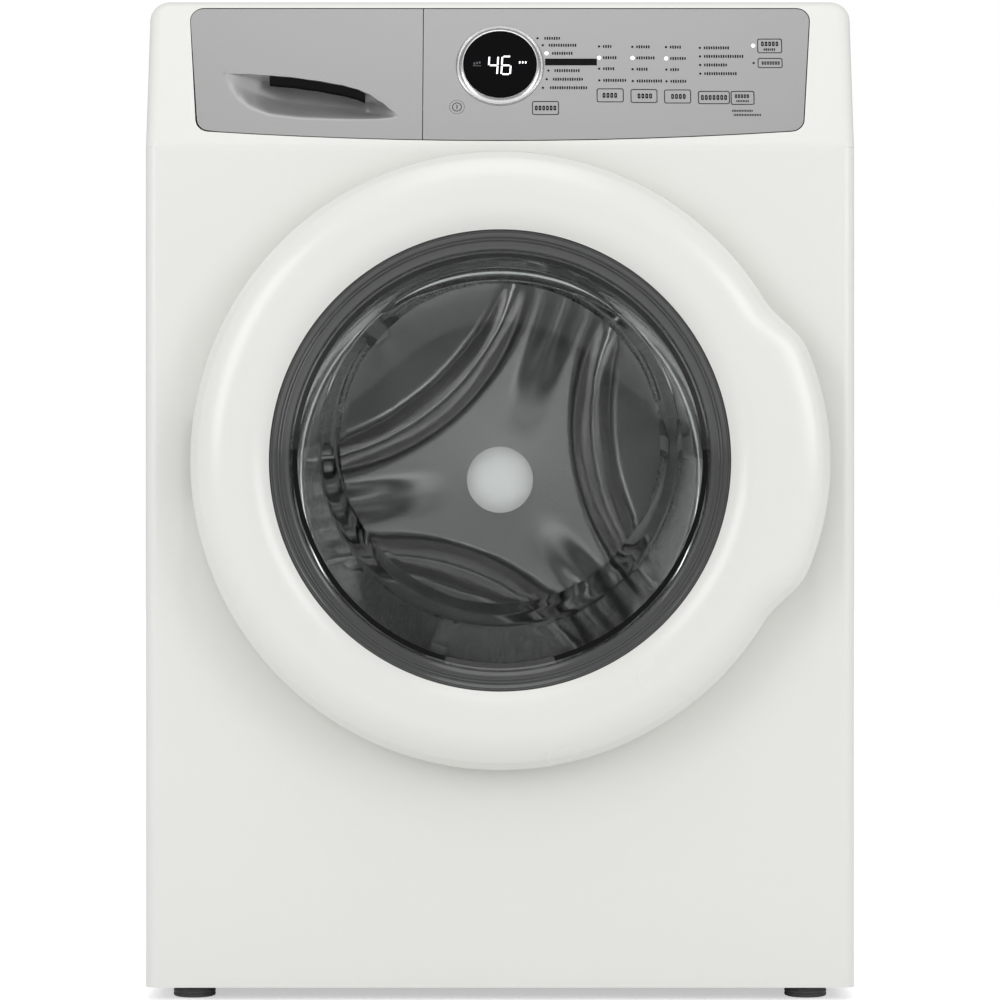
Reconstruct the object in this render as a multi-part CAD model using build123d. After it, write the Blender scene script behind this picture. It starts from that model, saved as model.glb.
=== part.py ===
from build123d import *
import math
import os

# Front load washing machine. Millimetres. X is to the right, Y is to the back, Z is up.
# The origin is on the floor, under the middle of the machine.

# Cabinet
width = 685.8
height = 971.6
depth = 812.8
door_front_y = -depth / 2
port_end_y = depth / 2
front_y = -350.0
back_y = 385.0
cabinet_bottom_z = 12.5
sheet = 1.2
top_corner_r = 19.0
front_corner_r = 12.0
bend_z = 824.0
bend_r = 30.0
lean_deg = 19.0
lean = math.radians(lean_deg)
seam = 0.6
front_wrap_y = -315.0
top_front_y = -262.0
top_seam_z = 940.0

# Door
door_z = 521.0
door_r = 296.0
door_back_y = -352.0
ring_inner_r = 220.3
crest_r = 252.0
rim_y = -382.0
bevel_r = 288.0
bevel_y = -390.0
ring_inner_y = -394.0
ring_wall = 3.0
handle_reach = 20.0
handle_front_y = -384.0
handle_back_y = -371.0
finger_half_z = 75.0
finger_x = 270.0
panel_opening_r = 236.0

# Door hinge
hinge_x = -288.0
hinge_y = -368.0
barrel_r = 4.5
pin_r = 3.0
pin_play = 0.05
lug_inner_z = 20.0
lug_outer_z = 34.0
lug_leg_x0 = -266.0
lug_leg_x1 = -258.0

# Tub and drum share one level axis
drum_z = 506.0
tub_r = 296.0
tub_wall = 4.0
tub_front_y = -262.0
tub_split_y = 0.0
tub_back_y = 285.0
neck_r = 216.0
drum_r = 275.0
drum_front_y = -245.0
drum_back_y = 250.0
drum_mouth_r = 200.0
drum_sheet = 1.5
shaft_r = 17.45
bearing_bore_r = 17.5
bearing_r = 31.0
pulley_r = 150.0
motor_pulley_r = 12.5
pulley_y0 = 338.0
pulley_y1 = 352.0
motor_z = 130.0
motor_r = 70.0
belt_gap = 0.3
belt_thickness = 3.0

# Console
console_side = 293.0
console_flare = 303.0
console_low = 18.1
console_dip = 7.4
console_top = 147.9
console_corner_r = 12.5
console_gap = 1.0
fascia_thickness = 4.0
split_x = -74.9
split_gap = 0.8
lens_v = 86.8
lens_r = 35.6
bezel_r = 42.6
button_gap = 0.35
button_depth = 6.0

# Name, centre across, centre up the leaning face, width, height
buttons = [
    ("cycles", 44.1, 41.4, 25.4, 14.2),
    ("temp", 106.9, 54.9, 25.6, 14.2),
    ("soil", 139.7, 54.2, 25.4, 14.2),
    ("spin", 172.3, 53.7, 25.6, 14.2),
    ("options", 207.5, 52.6, 30.2, 13.4),
    ("select", 235.3, 52.2, 22.4, 14.2),
    ("start", 262.9, 107.9, 23.6, 15.0),
    ("cancel", 262.9, 89.5, 23.6, 10.2),
]
power_button = ("power", -41.7, 42.5, 7.0)

# Drawer
tray_x0 = -281.0
tray_x1 = -95.0
tray_front_y = -290.5
tray_back_y = -70.0
tray_z0 = 876.0
tray_z1 = 926.0

# Feet and base
foot_x = 298.0
foot_front_y = -310.0
foot_rear_y = 345.0
foot_r = 20.5
stud_r = 6.0
base_z = 14.0
base_top_z = 44.0
damper_x = 210.0
damper_y = (-110.0, 90.0)
spring_x = 308.0
spring_y = (-60.0, 120.0)
sump_x = 90.0
sump_y = -190.0
port_r = 13.4
port_x = (-250.0, -190.0)
port_z = 850.0
outlet_x = 250.0
gland_x = 190.0
hose_z = 66.0
hose_r = 10.0

console_plane = Plane(
    origin=(0, front_y, bend_z),
    x_dir=(1, 0, 0),
    z_dir=(0, -math.cos(lean), math.sin(lean)),
)


def block(x0, x1, y0, y1, z0, z1):
    """A box between two corners."""
    centre = Pos((x0 + x1) / 2, (y0 + y1) / 2, (z0 + z1) / 2)
    return centre * Box(x1 - x0, y1 - y0, z1 - z0)


def rod_y(radius, y0, y1, x, z):
    """A round bar along Y."""
    return Pos(x, (y0 + y1) / 2, z) * Rot(90, 0, 0) * Cylinder(radius, y1 - y0)


def rod_z(radius, z0, z1, x, y):
    """A round bar along Z."""
    return Pos(x, y, (z0 + z1) / 2) * Cylinder(radius, z1 - z0)


def tube_y(outer, inner, y0, y1, x, z):
    """A round tube along Y."""
    return rod_y(outer, y0, y1, x, z) - rod_y(inner, y0 - 1, y1 + 1, x, z)


def tube_z(outer, inner, z0, z1, x, y):
    """A round tube along Z."""
    return rod_z(outer, z0, z1, x, y) - rod_z(inner, z0 - 1, z1 + 1, x, y)


def turned(points, z):
    """A ring turned about an axis along Y at height z, from (radius, y) points."""
    outline = make_face(Polyline(*points, close=True))
    return Pos(0, 0, z) * revolve(outline, Axis.Y)


def circle_at(radius, y, z):
    """A circle that faces along Y."""
    return Plane(origin=(0, y, z), x_dir=(1, 0, 0), z_dir=(0, -1, 0)) * Circle(radius)


# Cabinet

def cabinet_envelope(inset):
    """The cabinet's outer form, moved inwards by inset on every face but the bottom."""
    half = width / 2 - inset
    top = height - inset
    front = front_y + inset
    back = back_y - inset
    lean_y = front + (top - bend_z) * math.tan(lean)
    side = make_face(
        Polyline(
            (front, cabinet_bottom_z),
            (front, bend_z),
            (lean_y, top),
            (back, top),
            (back, cabinet_bottom_z),
            close=True,
        )
    )
    body = extrude(Plane.YZ * side, half, both=True)
    bend = body.edges().filter_by(Axis.X).filter_by_position(Axis.Z, bend_z - 1, bend_z + 1)
    body = fillet(bend, bend_r)
    ridge = body.edges().filter_by(Axis.Y).filter_by_position(Axis.Z, top - 1, top + 1)
    body = fillet(ridge, top_corner_r - inset)
    side_edges = body.edges().filter_by_position(Axis.X, half - 0.1, half + 0.1)
    side_edges += body.edges().filter_by_position(Axis.X, -half - 0.1, -half + 0.1)
    front_edges = side_edges.filter_by(lambda e: e.center().Y < lean_y + 1)
    front_edges = front_edges.filter_by(lambda e: abs(e.bounding_box().size.Z) > 1)
    return fillet(front_edges, front_corner_r - inset)


def cabinet_shell():
    """The whole cabinet as one thin skin, open at the bottom."""
    inner = cabinet_envelope(sheet)
    floor_cut = Pos(0, 0, -sheet) * inner
    return cabinet_envelope(0) - inner - floor_cut


shell = cabinet_shell()


def front_zone(y_back, z0, z1):
    """A block that takes in the front of the cabinet."""
    return block(-width, width, -depth, y_back, z0, z1)


def front_panel():
    panel = shell & front_zone(front_wrap_y, 0, bend_z)
    panel -= rod_y(panel_opening_r, front_y - 5, front_y + 10, 0, door_z)
    panel -= block(253, 271, front_y - 5, front_y + 10, door_z - 18, door_z + 18)
    middle = (lug_inner_z + lug_outer_z) / 2
    for side in (-1, 1):
        slot_z = door_z + side * middle
        panel -= block(
            lug_leg_x0 - 2, lug_leg_x1 + 2, front_y - 5, front_y + 10, slot_z - 9, slot_z + 9
        )
    return panel


def cabinet_wrap():
    """Left side, back and right side, bent from one sheet."""
    lower = shell & block(-width, width, front_wrap_y + seam, depth, 0, bend_z)
    upper = shell & block(-width, width, top_front_y + seam, depth, bend_z, top_seam_z)
    wrap = lower + upper
    wrap -= block(-200, 200, back_y - 10, back_y + 10, 90, 700)
    for x in port_x:
        wrap -= rod_y(port_r + 1, back_y - 10, back_y + 10, x, port_z)
    wrap -= rod_y(hose_r + 3, back_y - 10, back_y + 10, outlet_x, port_z)
    wrap -= rod_y(11.0, back_y - 10, back_y + 10, gland_x, port_z)
    for x, z in cover_screw_places():
        wrap -= rod_y(2.6, back_y - 10, back_y + 10, x, z)
    hanger_x = width / 2 - sheet
    for side in (-1, 1):
        for y in spring_y:
            near = side * (spring_x - 16)
            far = side * hanger_x
            wrap += block(min(near, far), max(near, far), y - 14, y + 14, 884, 887)
    return wrap


def top_panel():
    return shell & block(-width, width, top_front_y + seam, depth, top_seam_z + seam, height + 5)


def cover_screw_places():
    return [(x, z) for z in (78.0, 395.0, 712.0) for x in (-205.0, 0.0, 205.0) if x or z != 395.0]


def rear_access_cover():
    cover = block(-212, 212, back_y + 0.1, back_y + 10, 66, 724)
    cover -= block(-190, 190, back_y - 1, back_y + 8.5, 95, 695)
    for x, z in cover_screw_places():
        cover -= rod_y(2.6, back_y - 5, back_y + 15, x, z)
    return cover


def cover_screws():
    group = []
    for x, z in cover_screw_places():
        screw = rod_y(2.5, back_y - 8, back_y + 10.05, x, z)
        group.append(screw + rod_y(5.0, back_y + 10.05, back_y + 12.5, x, z))
    return Compound(group)


def base_frame():
    x_in = width / 2 - sheet - 0.5
    y_front = front_y + sheet + 0.5
    y_back = back_y - sheet - 0.5
    tray = block(-x_in, x_in, y_front, y_back, base_z, base_top_z)
    tray = fillet(tray.edges().filter_by(Axis.Z), front_corner_r)
    hollow = block(
        -x_in + sheet, x_in - sheet, y_front + sheet, y_back - sheet, base_z + sheet, base_top_z + 1
    )
    tray -= hollow
    tray -= block(-150, 60, -90, 60, 0, base_top_z)
    for x, y in foot_places():
        tray += rod_z(12.0, base_z + sheet, base_z + 14, x, y)
        tray -= rod_z(stud_r + 0.05, 0, base_top_z, x, y)
    return tray


def foot_places():
    return [(side * foot_x, y) for y in (foot_front_y, foot_rear_y) for side in (-1, 1)]


def foot(x, y):
    pad = rod_z(foot_r, 0, 10, x, y)
    pad = chamfer(pad.edges().group_by(Axis.Z)[-1], 2)
    pad += rod_z(14, 10, base_z - 0.5, x, y)
    return pad + rod_z(stud_r, base_z - 0.5, 58, x, y)


# Console

def console_outline(grow):
    """The silver face's outline on the leaning plane, enlarged by grow."""
    low = console_low - grow
    top = console_top + grow
    side = console_side + grow
    flare = console_flare + grow
    edges = [
        ThreePointArc((-side, low), (0, console_dip - grow), (side, low)),
        Line((side, low), (flare, top)),
        Line((flare, top), (-flare, top)),
        Line((-flare, top), (-side, low)),
    ]
    face = make_face(edges)
    return console_plane * fillet(face.vertices(), console_corner_r + grow)


def straight_back(face, y_length):
    """Extrude a face on the leaning plane straight back along Y."""
    return extrude(face, amount=y_length, dir=(0, 1, 0))


def on_face(shape, x, v):
    """Put a flat shape on the leaning plane."""
    return console_plane * Pos(x, v, 0) * shape


def right_of_split(grow):
    return block(split_x + split_gap / 2 - grow, width, -depth, depth, 0, height)


def left_of_split():
    return block(-width, split_x - split_gap / 2, -depth, depth, 0, height)


def console_frame():
    frame = shell & block(-width, width, -depth, top_front_y, bend_z + seam, height + 5)
    hole = Pos(0, -20, 0) * straight_back(console_outline(console_gap), 80)
    return frame - hole


def control_fascia():
    plate = straight_back(console_outline(0), fascia_thickness) & right_of_split(0)
    plate -= extrude(on_face(Circle(bezel_r + 0.3), 0, lens_v), amount=20, both=True)
    for _, x, v, w, h in buttons:
        hole = RectangleRounded(w + 2 * button_gap, h + 2 * button_gap, 2.2)
        plate -= extrude(on_face(hole, x, v), amount=20, both=True)
    _, x, v, r = power_button
    plate -= extrude(on_face(Circle(r + button_gap), x, v), amount=20, both=True)
    return plate


def button(x, v, w, h):
    cap = extrude(on_face(RectangleRounded(w, h, 1.8), x, v), amount=-button_depth)
    flange = extrude(on_face(Rectangle(w - 4, h - 4), x, v), amount=-button_depth - 2)
    return cap + flange


def round_button(x, v, r):
    return extrude(on_face(Circle(r), x, v), amount=-button_depth)


def display_bezel():
    ring = Circle(bezel_r) - Circle(lens_r + 0.1)
    low = extrude(on_face(ring, 0, lens_v), amount=-fascia_thickness)
    proud = on_face(Circle(bezel_r), 0, lens_v)
    cone = loft([proud, on_face(Pos(0, 0, 3) * Circle(bezel_r - 4), 0, lens_v)])
    cone -= extrude(on_face(Circle(lens_r + 0.1), 0, lens_v), amount=10, both=True)
    return low + cone


def display_lens():
    disc = extrude(on_face(Circle(lens_r), 0, lens_v), amount=1.5)
    return disc + extrude(on_face(Circle(lens_r), 0, lens_v), amount=-3)


def control_board():
    board = extrude(console_plane * Pos(115, 80, -12) * Rectangle(330, 104), amount=-1.6)
    chip = extrude(console_plane * Pos(150, 90, -13.6) * Rectangle(60, 40), amount=-12)
    return board + chip


# Drawer

def scoop_face():
    """The handle's recess: a long teardrop that tapers to the right."""
    edges = [
        Line((-264, 78), (-226, 77)),
        ThreePointArc((-226, 77), (-150, 66), (-101, 35)),
        ThreePointArc((-101, 35), (-180, 31), (-236, 36)),
        ThreePointArc((-236, 36), (-257, 48), (-264, 78)),
    ]
    return console_plane * make_face(edges)


def drawer_front():
    plate = straight_back(console_outline(0), fascia_thickness) & left_of_split()
    backing = straight_back(console_outline(-8), 90) & left_of_split()
    backing &= block(-width, split_x - 8, -depth, tray_front_y - 0.1, 0, height)
    front = plate + backing
    return front - straight_back(scoop_face(), 17)


def drawer_tray():
    tray = block(tray_x0, tray_x1, tray_front_y, tray_back_y, tray_z0, tray_z1)
    wall = 2.5
    cells = [(tray_x0 + wall, -208.0), (-205.0, -152.0), (-149.0, tray_x1 - wall)]
    for x0, x1 in cells:
        tray -= block(x0, x1, tray_front_y + wall, tray_back_y - wall, tray_z0 + wall, tray_z1 + 1)
    return tray


def dispenser_housing():
    outer = block(-288, -88, -286, -44, 868, 934)
    return outer - block(-285, -91, -290, -47, 871, 931)


def dispenser_hose():
    hose = tube_z(24, 20, 700, 867.9, -190, -60)
    return (hose - rod_y(tub_r + 0.4, -depth, depth, 0, drum_z)).solids().sort_by(Axis.Z)[-1]


def inlet_valves():
    group = []
    for x in port_x:
        valve = block(x - 22, x + 22, back_y - 70, back_y - sheet - 0.5, port_z - 26, port_z + 26)
        valve += rod_y(port_r, back_y - 10, port_end_y, x, port_z)
        group.append(valve - rod_y(8.0, back_y - 20, port_end_y + 1, x, port_z))
    return Compound(group)


def fill_hoses():
    group = []
    for x in port_x:
        start_y = back_y - 70.1
        points = [(x, start_y, port_z), (x, start_y - 80, port_z), (x, 60, 905), (x, -43.9, 905)]
        path = FilletPolyline(*points, radius=40)
        section = Plane(origin=points[0], z_dir=(0, -1, 0)) * Circle(8)
        group.append(sweep(section, path=path))
    return Compound(group)


# Door

def door_ring_body(back, inner_back):
    """The door ring as a solid, before it is hollowed from behind."""
    rim = (door_r, rim_y)
    bevel = (bevel_r, bevel_y)
    crest = (crest_r, door_front_y)
    inner = (ring_inner_r, ring_inner_y)
    edges = [
        Line((rim[0] - 3, back), (rim[0], back - 3)),
        Line((rim[0], back - 3), rim),
        Line(rim, bevel),
        TangentArc(crest, bevel, tangent=(1, 0)),
        TangentArc(crest, inner, tangent=(-1, 0)),
        Line(inner, (inner[0], inner_back)),
        Line((inner[0], inner_back), (inner[0] + 4, inner_back)),
        Line((inner[0] + 4, inner_back), (rim[0] - 3, back)),
    ]
    return Pos(0, 0, door_z) * revolve(make_face(edges), Axis.Y)


def handle_radius(angle):
    """Outer radius of the door at an angle from the right, with the handle's swelling."""
    start = 31.5
    full = 20.0
    dome = 1 - 0.4 * (angle / start) ** 2
    t = min(1.0, max(0.0, (start - abs(angle)) / (start - full)))
    return door_r + handle_reach * dome * t * t * (3 - 2 * t)


def handle_blade():
    reach = 34
    steps = 16
    angles = [-reach + 2 * reach * i / steps for i in range(steps + 1)]
    rim = []
    for angle in angles:
        r = handle_radius(angle)
        rim.append((r * math.cos(math.radians(angle)), r * math.sin(math.radians(angle))))
    inner_r = 285.0
    low = (inner_r * math.cos(math.radians(-reach)), inner_r * math.sin(math.radians(-reach)))
    high = (low[0], -low[1])
    edges = [
        Spline(*rim),
        Line(rim[-1], high),
        ThreePointArc(high, (inner_r, 0), low),
        Line(low, rim[0]),
    ]
    plane = Plane(origin=(0, handle_back_y, door_z), x_dir=(1, 0, 0), z_dir=(0, -1, 0))
    return extrude(plane * make_face(edges), handle_back_y - handle_front_y)


def finger_cut():
    return block(
        finger_x, width, handle_back_y, front_y, door_z - finger_half_z, door_z + finger_half_z
    )


def hinge_pocket():
    return block(-320, -255.5, -374, front_y, door_z - 38, door_z + 38)


def door_ring():
    solid = door_ring_body(door_back_y, -372)
    hollow = turned([(door_r - ring_wall, -340), (door_r - ring_wall, -375), (bevel_r - 2, -378.5),
                     (ring_inner_r + ring_wall, -378.5), (ring_inner_r + ring_wall, -340)], door_z)
    ring = solid - hollow
    ring += handle_blade()
    ring -= finger_cut()
    return ring - hinge_pocket()


def door_inner_frame():
    outer_r = door_r - ring_wall - 0.2
    inner_r = ring_inner_r + ring_wall + 0.2
    frame = turned([(inner_r, door_back_y), (outer_r, door_back_y), (outer_r, -370.6),
                    (284.5, -370.6), (bevel_r - 8, -374.5), (inner_r, -374.5)], door_z)
    groove = turned([(inner_r + 4, -371), (outer_r - 6, -371), (outer_r - 6, -356),
                     (inner_r + 4, -356)], door_z)
    groove -= block(200, width, -depth, depth, door_z - 90, door_z + 90)
    groove -= block(-width, -200, -depth, depth, door_z - 50, door_z + 50)
    frame -= groove
    frame += tube_y(inner_r + 1, 205, -364, -358, 0, door_z)
    frame -= finger_cut()
    return frame - hinge_pocket()


def door_trim_ring():
    return turned([(220, -393), (220, -372), (202, -372), (202, -379), (213, -390)], door_z)


def glass_form(inset, y_shift):
    sections = [
        circle_at(200 - inset, -371.8 - y_shift, door_z),
        circle_at(181 - inset, -295 - y_shift * 0.4, door_z + 14.5),
        circle_at(159.5 - inset, -262 - inset, door_z + 18.5),
    ]
    return loft(sections, ruled=True)


def door_glass():
    bowl = glass_form(0, 0) - glass_form(6, 1)
    flange = tube_y(216, 196, -371.8, -364.2, 0, door_z)
    return bowl + (flange - glass_form(0, 0))


def door_strike():
    plate = block(257, 267, -352, -349.5, door_z - 14, door_z + 14)
    hook = block(259, 265, -349.5, -330, door_z - 9, door_z + 9)
    return plate + hook - block(258, 266, -344, -336, door_z - 5, door_z + 5)


def door_hinge_arm():
    barrel = rod_z(barrel_r, door_z - 19.5, door_z + 19.5, hinge_x, hinge_y)
    leaf = block(hinge_x, -256, -373.9, -370.5, door_z - 19.5, door_z + 19.5)
    pin = rod_z(pin_r, door_z - 36, door_z + 36, hinge_x, hinge_y)
    return barrel + leaf + pin


def hinge_bracket():
    plate_y = front_y + sheet + 0.2
    bracket = block(-298, -250, plate_y, plate_y + 3, door_z - 50, door_z + 50)
    for side in (-1, 1):
        z0 = min(side * lug_inner_z, side * lug_outer_z) + door_z
        z1 = z0 + lug_outer_z - lug_inner_z
        lug = rod_z(barrel_r, z0, z1, hinge_x, hinge_y)
        lug += block(hinge_x, lug_leg_x1, hinge_y - barrel_r, hinge_y + barrel_r, z0, z1)
        lug += block(lug_leg_x0, lug_leg_x1, hinge_y, plate_y, z0, z1)
        bracket += lug - rod_z(pin_r + pin_play, z0 - 1, z1 + 1, hinge_x, hinge_y)
    return bracket


def door_lock():
    body = block(247, 290, front_y + sheet + 0.2, -316, door_z - 42, door_z + 42)
    return body - block(255, 269, front_y, -326, door_z - 14, door_z + 14)


def door_gasket():
    lip_y = front_y + sheet + 0.2
    outer = loft([circle_at(242, lip_y, door_z), circle_at(224, -287, drum_z)])
    inner = loft([circle_at(236, lip_y - 0.1, door_z), circle_at(218, -286.9, drum_z)])
    return outer - inner


# Tub

def tub_front():
    tub = turned([(neck_r, -286), (neck_r + 3.5, -286), (neck_r + 3.5, tub_front_y),
                  (tub_r, tub_front_y), (tub_r, tub_split_y - 14), (tub_r + 8, tub_split_y - 14),
                  (tub_r + 8, tub_split_y - 0.1), (tub_r - tub_wall, tub_split_y - 0.1),
                  (tub_r - tub_wall, tub_front_y + 4), (neck_r, tub_front_y + 4)], drum_z)
    for side in (-1, 1):
        x0, x1 = sorted((side * 200, side * (spring_x + 12)))
        tub += block(x0, x1, spring_y[0] - 12, spring_y[0] + 12, 676, 688) - rod_y(
            tub_r - 1, -depth, depth, 0, drum_z)
    opening = rod_z(20, 700, 820, -190, -60)
    return tub - opening - rod_z(22, 150, 300, sump_x, sump_y)


def tub_rear():
    tub = turned([(tub_r - tub_wall, tub_split_y), (tub_r + 8, tub_split_y),
                  (tub_r + 8, tub_split_y + 14), (tub_r, tub_split_y + 14), (tub_r, tub_back_y),
                  (45, tub_back_y), (45, 330), (bearing_r, 330), (bearing_r, 278), (60, 278),
                  (60, tub_back_y - 4), (tub_r - tub_wall, tub_back_y - 4)], drum_z)
    for side in (-1, 1):
        x0, x1 = sorted((side * 200, side * (spring_x + 12)))
        tub += block(x0, x1, spring_y[1] - 12, spring_y[1] + 12, 676, 688) - rod_y(
            tub_r - 1, -depth, depth, 0, drum_z)
    for y in (205, 265):
        lug = block(-50, 50, y - 5, y + 5, motor_z + 40, 240)
        lug -= rod_y(tub_r - 1, -depth, depth, 0, drum_z)
        tub += lug - rod_y(motor_r + 0.1, 0, depth, 0, motor_z)
    return tub


def counterweight_upper():
    weight = block(-70, 190, -130, -20, drum_z + 200, 842)
    return weight - rod_y(tub_r + 0.2, -depth, depth, 0, drum_z)


def counterweight_front():
    ring = tube_y(288, 234, -290, tub_front_y - 0.2, 0, drum_z)
    return ring - block(-200, 200, -depth, 0, 0, drum_z - 150)


def motor_housing():
    can = rod_y(motor_r, 185, 315, 0, motor_z) - rod_y(motor_r - 4, 190, 310, 0, motor_z)
    return can - rod_y(8.05, 100, 400, 0, motor_z)


def motor_rotor():
    shaft = rod_y(8.0, 180, pulley_y1 + 2, 0, motor_z)
    core = rod_y(46, 200, 300, 0, motor_z)
    return shaft + core + rod_y(motor_pulley_r, pulley_y0, pulley_y1, 0, motor_z)


def drum_bearings():
    group = [tube_y(bearing_r, bearing_bore_r, 280, 300, 0, drum_z)]
    group.append(tube_y(bearing_r, bearing_bore_r, 312, 329, 0, drum_z))
    return Compound(group)


def belt_outline(grow):
    """Outline round both pulleys, seen along the drum's axis."""
    big = Pos(0, 0) * Circle(pulley_r + grow)
    small = Pos(0, motor_z - drum_z) * Circle(motor_pulley_r + grow)
    return make_hull((big.edges() + small.edges()))


def drive_belt():
    plane = Plane(origin=(0, pulley_y1 - 1, drum_z), x_dir=(1, 0, 0), z_dir=(0, -1, 0))
    outer = extrude(plane * belt_outline(belt_gap + belt_thickness), 12)
    inner = extrude(plane * belt_outline(belt_gap), 12)
    return outer - inner


def damper_places():
    return [(side * damper_x, y) for y in damper_y for side in (-1, 1)]


def damper_cylinders():
    floor_z = base_z + sheet
    group = []
    for x, y in damper_places():
        group.append(rod_z(15, floor_z, 170, x, y) - rod_z(9.5, 60, 171, x, y))
    return Compound(group)


def damper_rods():
    group = []
    for x, y in damper_places():
        rod = rod_z(9, 110, 330, x, y) - rod_y(tub_r + 0.1, -depth, depth, 0, drum_z)
        group.append(rod.solids().sort_by(Axis.Z)[0])
    return Compound(group)


def suspension_springs():
    group = []
    for x in (-spring_x, spring_x):
        for y in spring_y:
            group.append(tube_z(11, 8, 688.5, 883.5, x, y))
    return Compound(group)


# Drum

def drum_shell():
    return turned([(drum_mouth_r, drum_front_y - 4), (drum_mouth_r + drum_sheet, drum_front_y - 4),
                   (drum_mouth_r + 4, drum_front_y), (drum_r, drum_front_y), (drum_r, drum_back_y),
                   (drum_r - drum_sheet, drum_back_y), (drum_r - drum_sheet, drum_front_y + drum_sheet),
                   (drum_mouth_r, drum_front_y + drum_sheet)], drum_z)


def drum_rear_wall():
    edge = drum_r - drum_sheet - 0.1
    return turned([(0, 236), (38, 236), (44, 240), (edge, 240), (edge, 242), (44, 242),
                   (38, 239), (0, 239)], drum_z)


def drum_spider():
    hub = rod_y(48, 243, 268, 0, drum_z) - rod_y(shaft_r, 200, 300, 0, drum_z)
    for angle in (70, 190, 310):
        arm = block(30, 262, 243, 262, -20, 20)
        hub += Pos(0, 0, drum_z) * Rot(0, -angle, 0) * arm - rod_y(40, 200, 300, 0, drum_z)
    return hub


def drum_shaft():
    return rod_y(shaft_r, 243, pulley_y1 + 8, 0, drum_z)


def drum_pulley():
    wheel = rod_y(pulley_r, pulley_y0, pulley_y1, 0, drum_z)
    wheel -= tube_y(pulley_r - 12, 34, pulley_y0 - 1, pulley_y0 + 5, 0, drum_z)
    wheel -= tube_y(pulley_r - 12, 34, pulley_y1 - 5, pulley_y1 + 1, 0, drum_z)
    return wheel - rod_y(shaft_r, 300, 400, 0, drum_z)


def drum_lifters():
    group = []
    for angle in (10, 130, 250):
        edge = drum_r - drum_sheet - 2.0
        face = make_face(Polyline((210, -9), (210, 9), (edge, 30), (edge, -30), close=True))
        plane = Plane(origin=(0, 200, 0), x_dir=(1, 0, 0), z_dir=(0, -1, 0))
        lifter = extrude(plane * face, 400)
        group.append(Pos(0, 0, drum_z) * Rot(0, -angle, 0) * lifter)
    return Compound(group)


# Drain

def sump_hose():
    hose = tube_z(26, 22.5, 112.2, 300, sump_x, sump_y)
    return hose - rod_y(tub_r + 0.3, -depth, depth, 0, drum_z)


def drain_pump():
    body = rod_z(40, base_z + sheet + 20, 96, sump_x, sump_y)
    body += rod_z(26, 96, 112, sump_x, sump_y) - rod_z(22, 90, 113, sump_x, sump_y)
    body -= rod_z(22, 60, 113, sump_x, sump_y)
    motor_plane = Pos(sump_x + 75, sump_y, 66) * Rot(0, 90, 0) * Cylinder(28, 80)
    feet = block(sump_x - 30, sump_x + 30, sump_y - 30, sump_y + 30, base_z + sheet, base_z + sheet + 20)
    return body + (motor_plane - rod_z(39, 0, 120, sump_x, sump_y)) + feet


def drain_hose():
    """From the pump along the base, up the back and out through the rear wall."""
    start = (sump_x, sump_y + 40.1, hose_z)
    points = [
        start,
        (sump_x, -100, hose_z),
        (outlet_x - 10, 60, hose_z),
        (outlet_x, 200, hose_z),
        (outlet_x, 341, hose_z),
        (outlet_x, 341, port_z),
        (outlet_x, port_end_y - 4, port_z),
    ]
    section = Plane(origin=start, z_dir=(0, 1, 0)) * Circle(hose_r)
    return sweep(section, path=FilletPolyline(*points, radius=30))


def power_gland():
    ring = tube_y(10.8, 5.0, back_y - 6, back_y + 6, gland_x, port_z)
    return ring + tube_y(15.0, 5.0, back_y + 0.1, back_y + 3, gland_x, port_z)


def export_all():
    parts = {
        "cabinet_wrap": cabinet_wrap(), "rear_access_cover": rear_access_cover(),
        "top_panel": top_panel(), "front_panel": front_panel(), "base_frame": base_frame(),
        "console_frame": console_frame(), "control_fascia": control_fascia(),
        "display_bezel": display_bezel(), "display_lens": display_lens(),
        "control_board": control_board(), "dispenser_housing": dispenser_housing(),
        "inlet_valves": inlet_valves(), "fill_hoses": fill_hoses(),
        "dispenser_hose": dispenser_hose(), "door_gasket": door_gasket(),
        "door_lock": door_lock(), "hinge_bracket": hinge_bracket(), "drain_pump": drain_pump(),
        "sump_hose": sump_hose(), "drain_hose": drain_hose(),
        "damper_cylinders": damper_cylinders(), "suspension_springs": suspension_springs(),
        "cover_screws": cover_screws(), "power_gland": power_gland(),
        "tub_front": tub_front(), "tub_rear": tub_rear(),
        "counterweight_upper": counterweight_upper(), "counterweight_front": counterweight_front(),
        "motor_housing": motor_housing(), "drum_bearings": drum_bearings(),
        "damper_rods": damper_rods(), "drive_belt": drive_belt(), "motor_rotor": motor_rotor(),
        "drum_shell": drum_shell(), "drum_rear_wall": drum_rear_wall(),
        "drum_spider": drum_spider(), "drum_shaft": drum_shaft(), "drum_pulley": drum_pulley(),
        "drum_lifters": drum_lifters(), "door_ring": door_ring(),
        "door_inner_frame": door_inner_frame(), "door_trim_ring": door_trim_ring(),
        "door_glass": door_glass(), "door_strike": door_strike(),
        "door_hinge_arm": door_hinge_arm(), "drawer_front": drawer_front(),
        "drawer_tray": drawer_tray(),
    }
    for name, x, v, w, h in buttons:
        parts[name + "_button"] = button(x, v, w, h)
    parts["power_button"] = round_button(*power_button[1:])
    for name, (x, y) in zip(("front_left", "front_right", "rear_left", "rear_right"), foot_places()):
        parts["foot_" + name] = foot(x, y)
    os.makedirs("parts", exist_ok=True)
    for name, shape in parts.items():
        export_step(shape, "parts/" + name + ".step")
    print(len(parts), "nodes written")


export_all()
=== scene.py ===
import math

import bmesh
import bpy
from mathutils import Matrix, Vector


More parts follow.
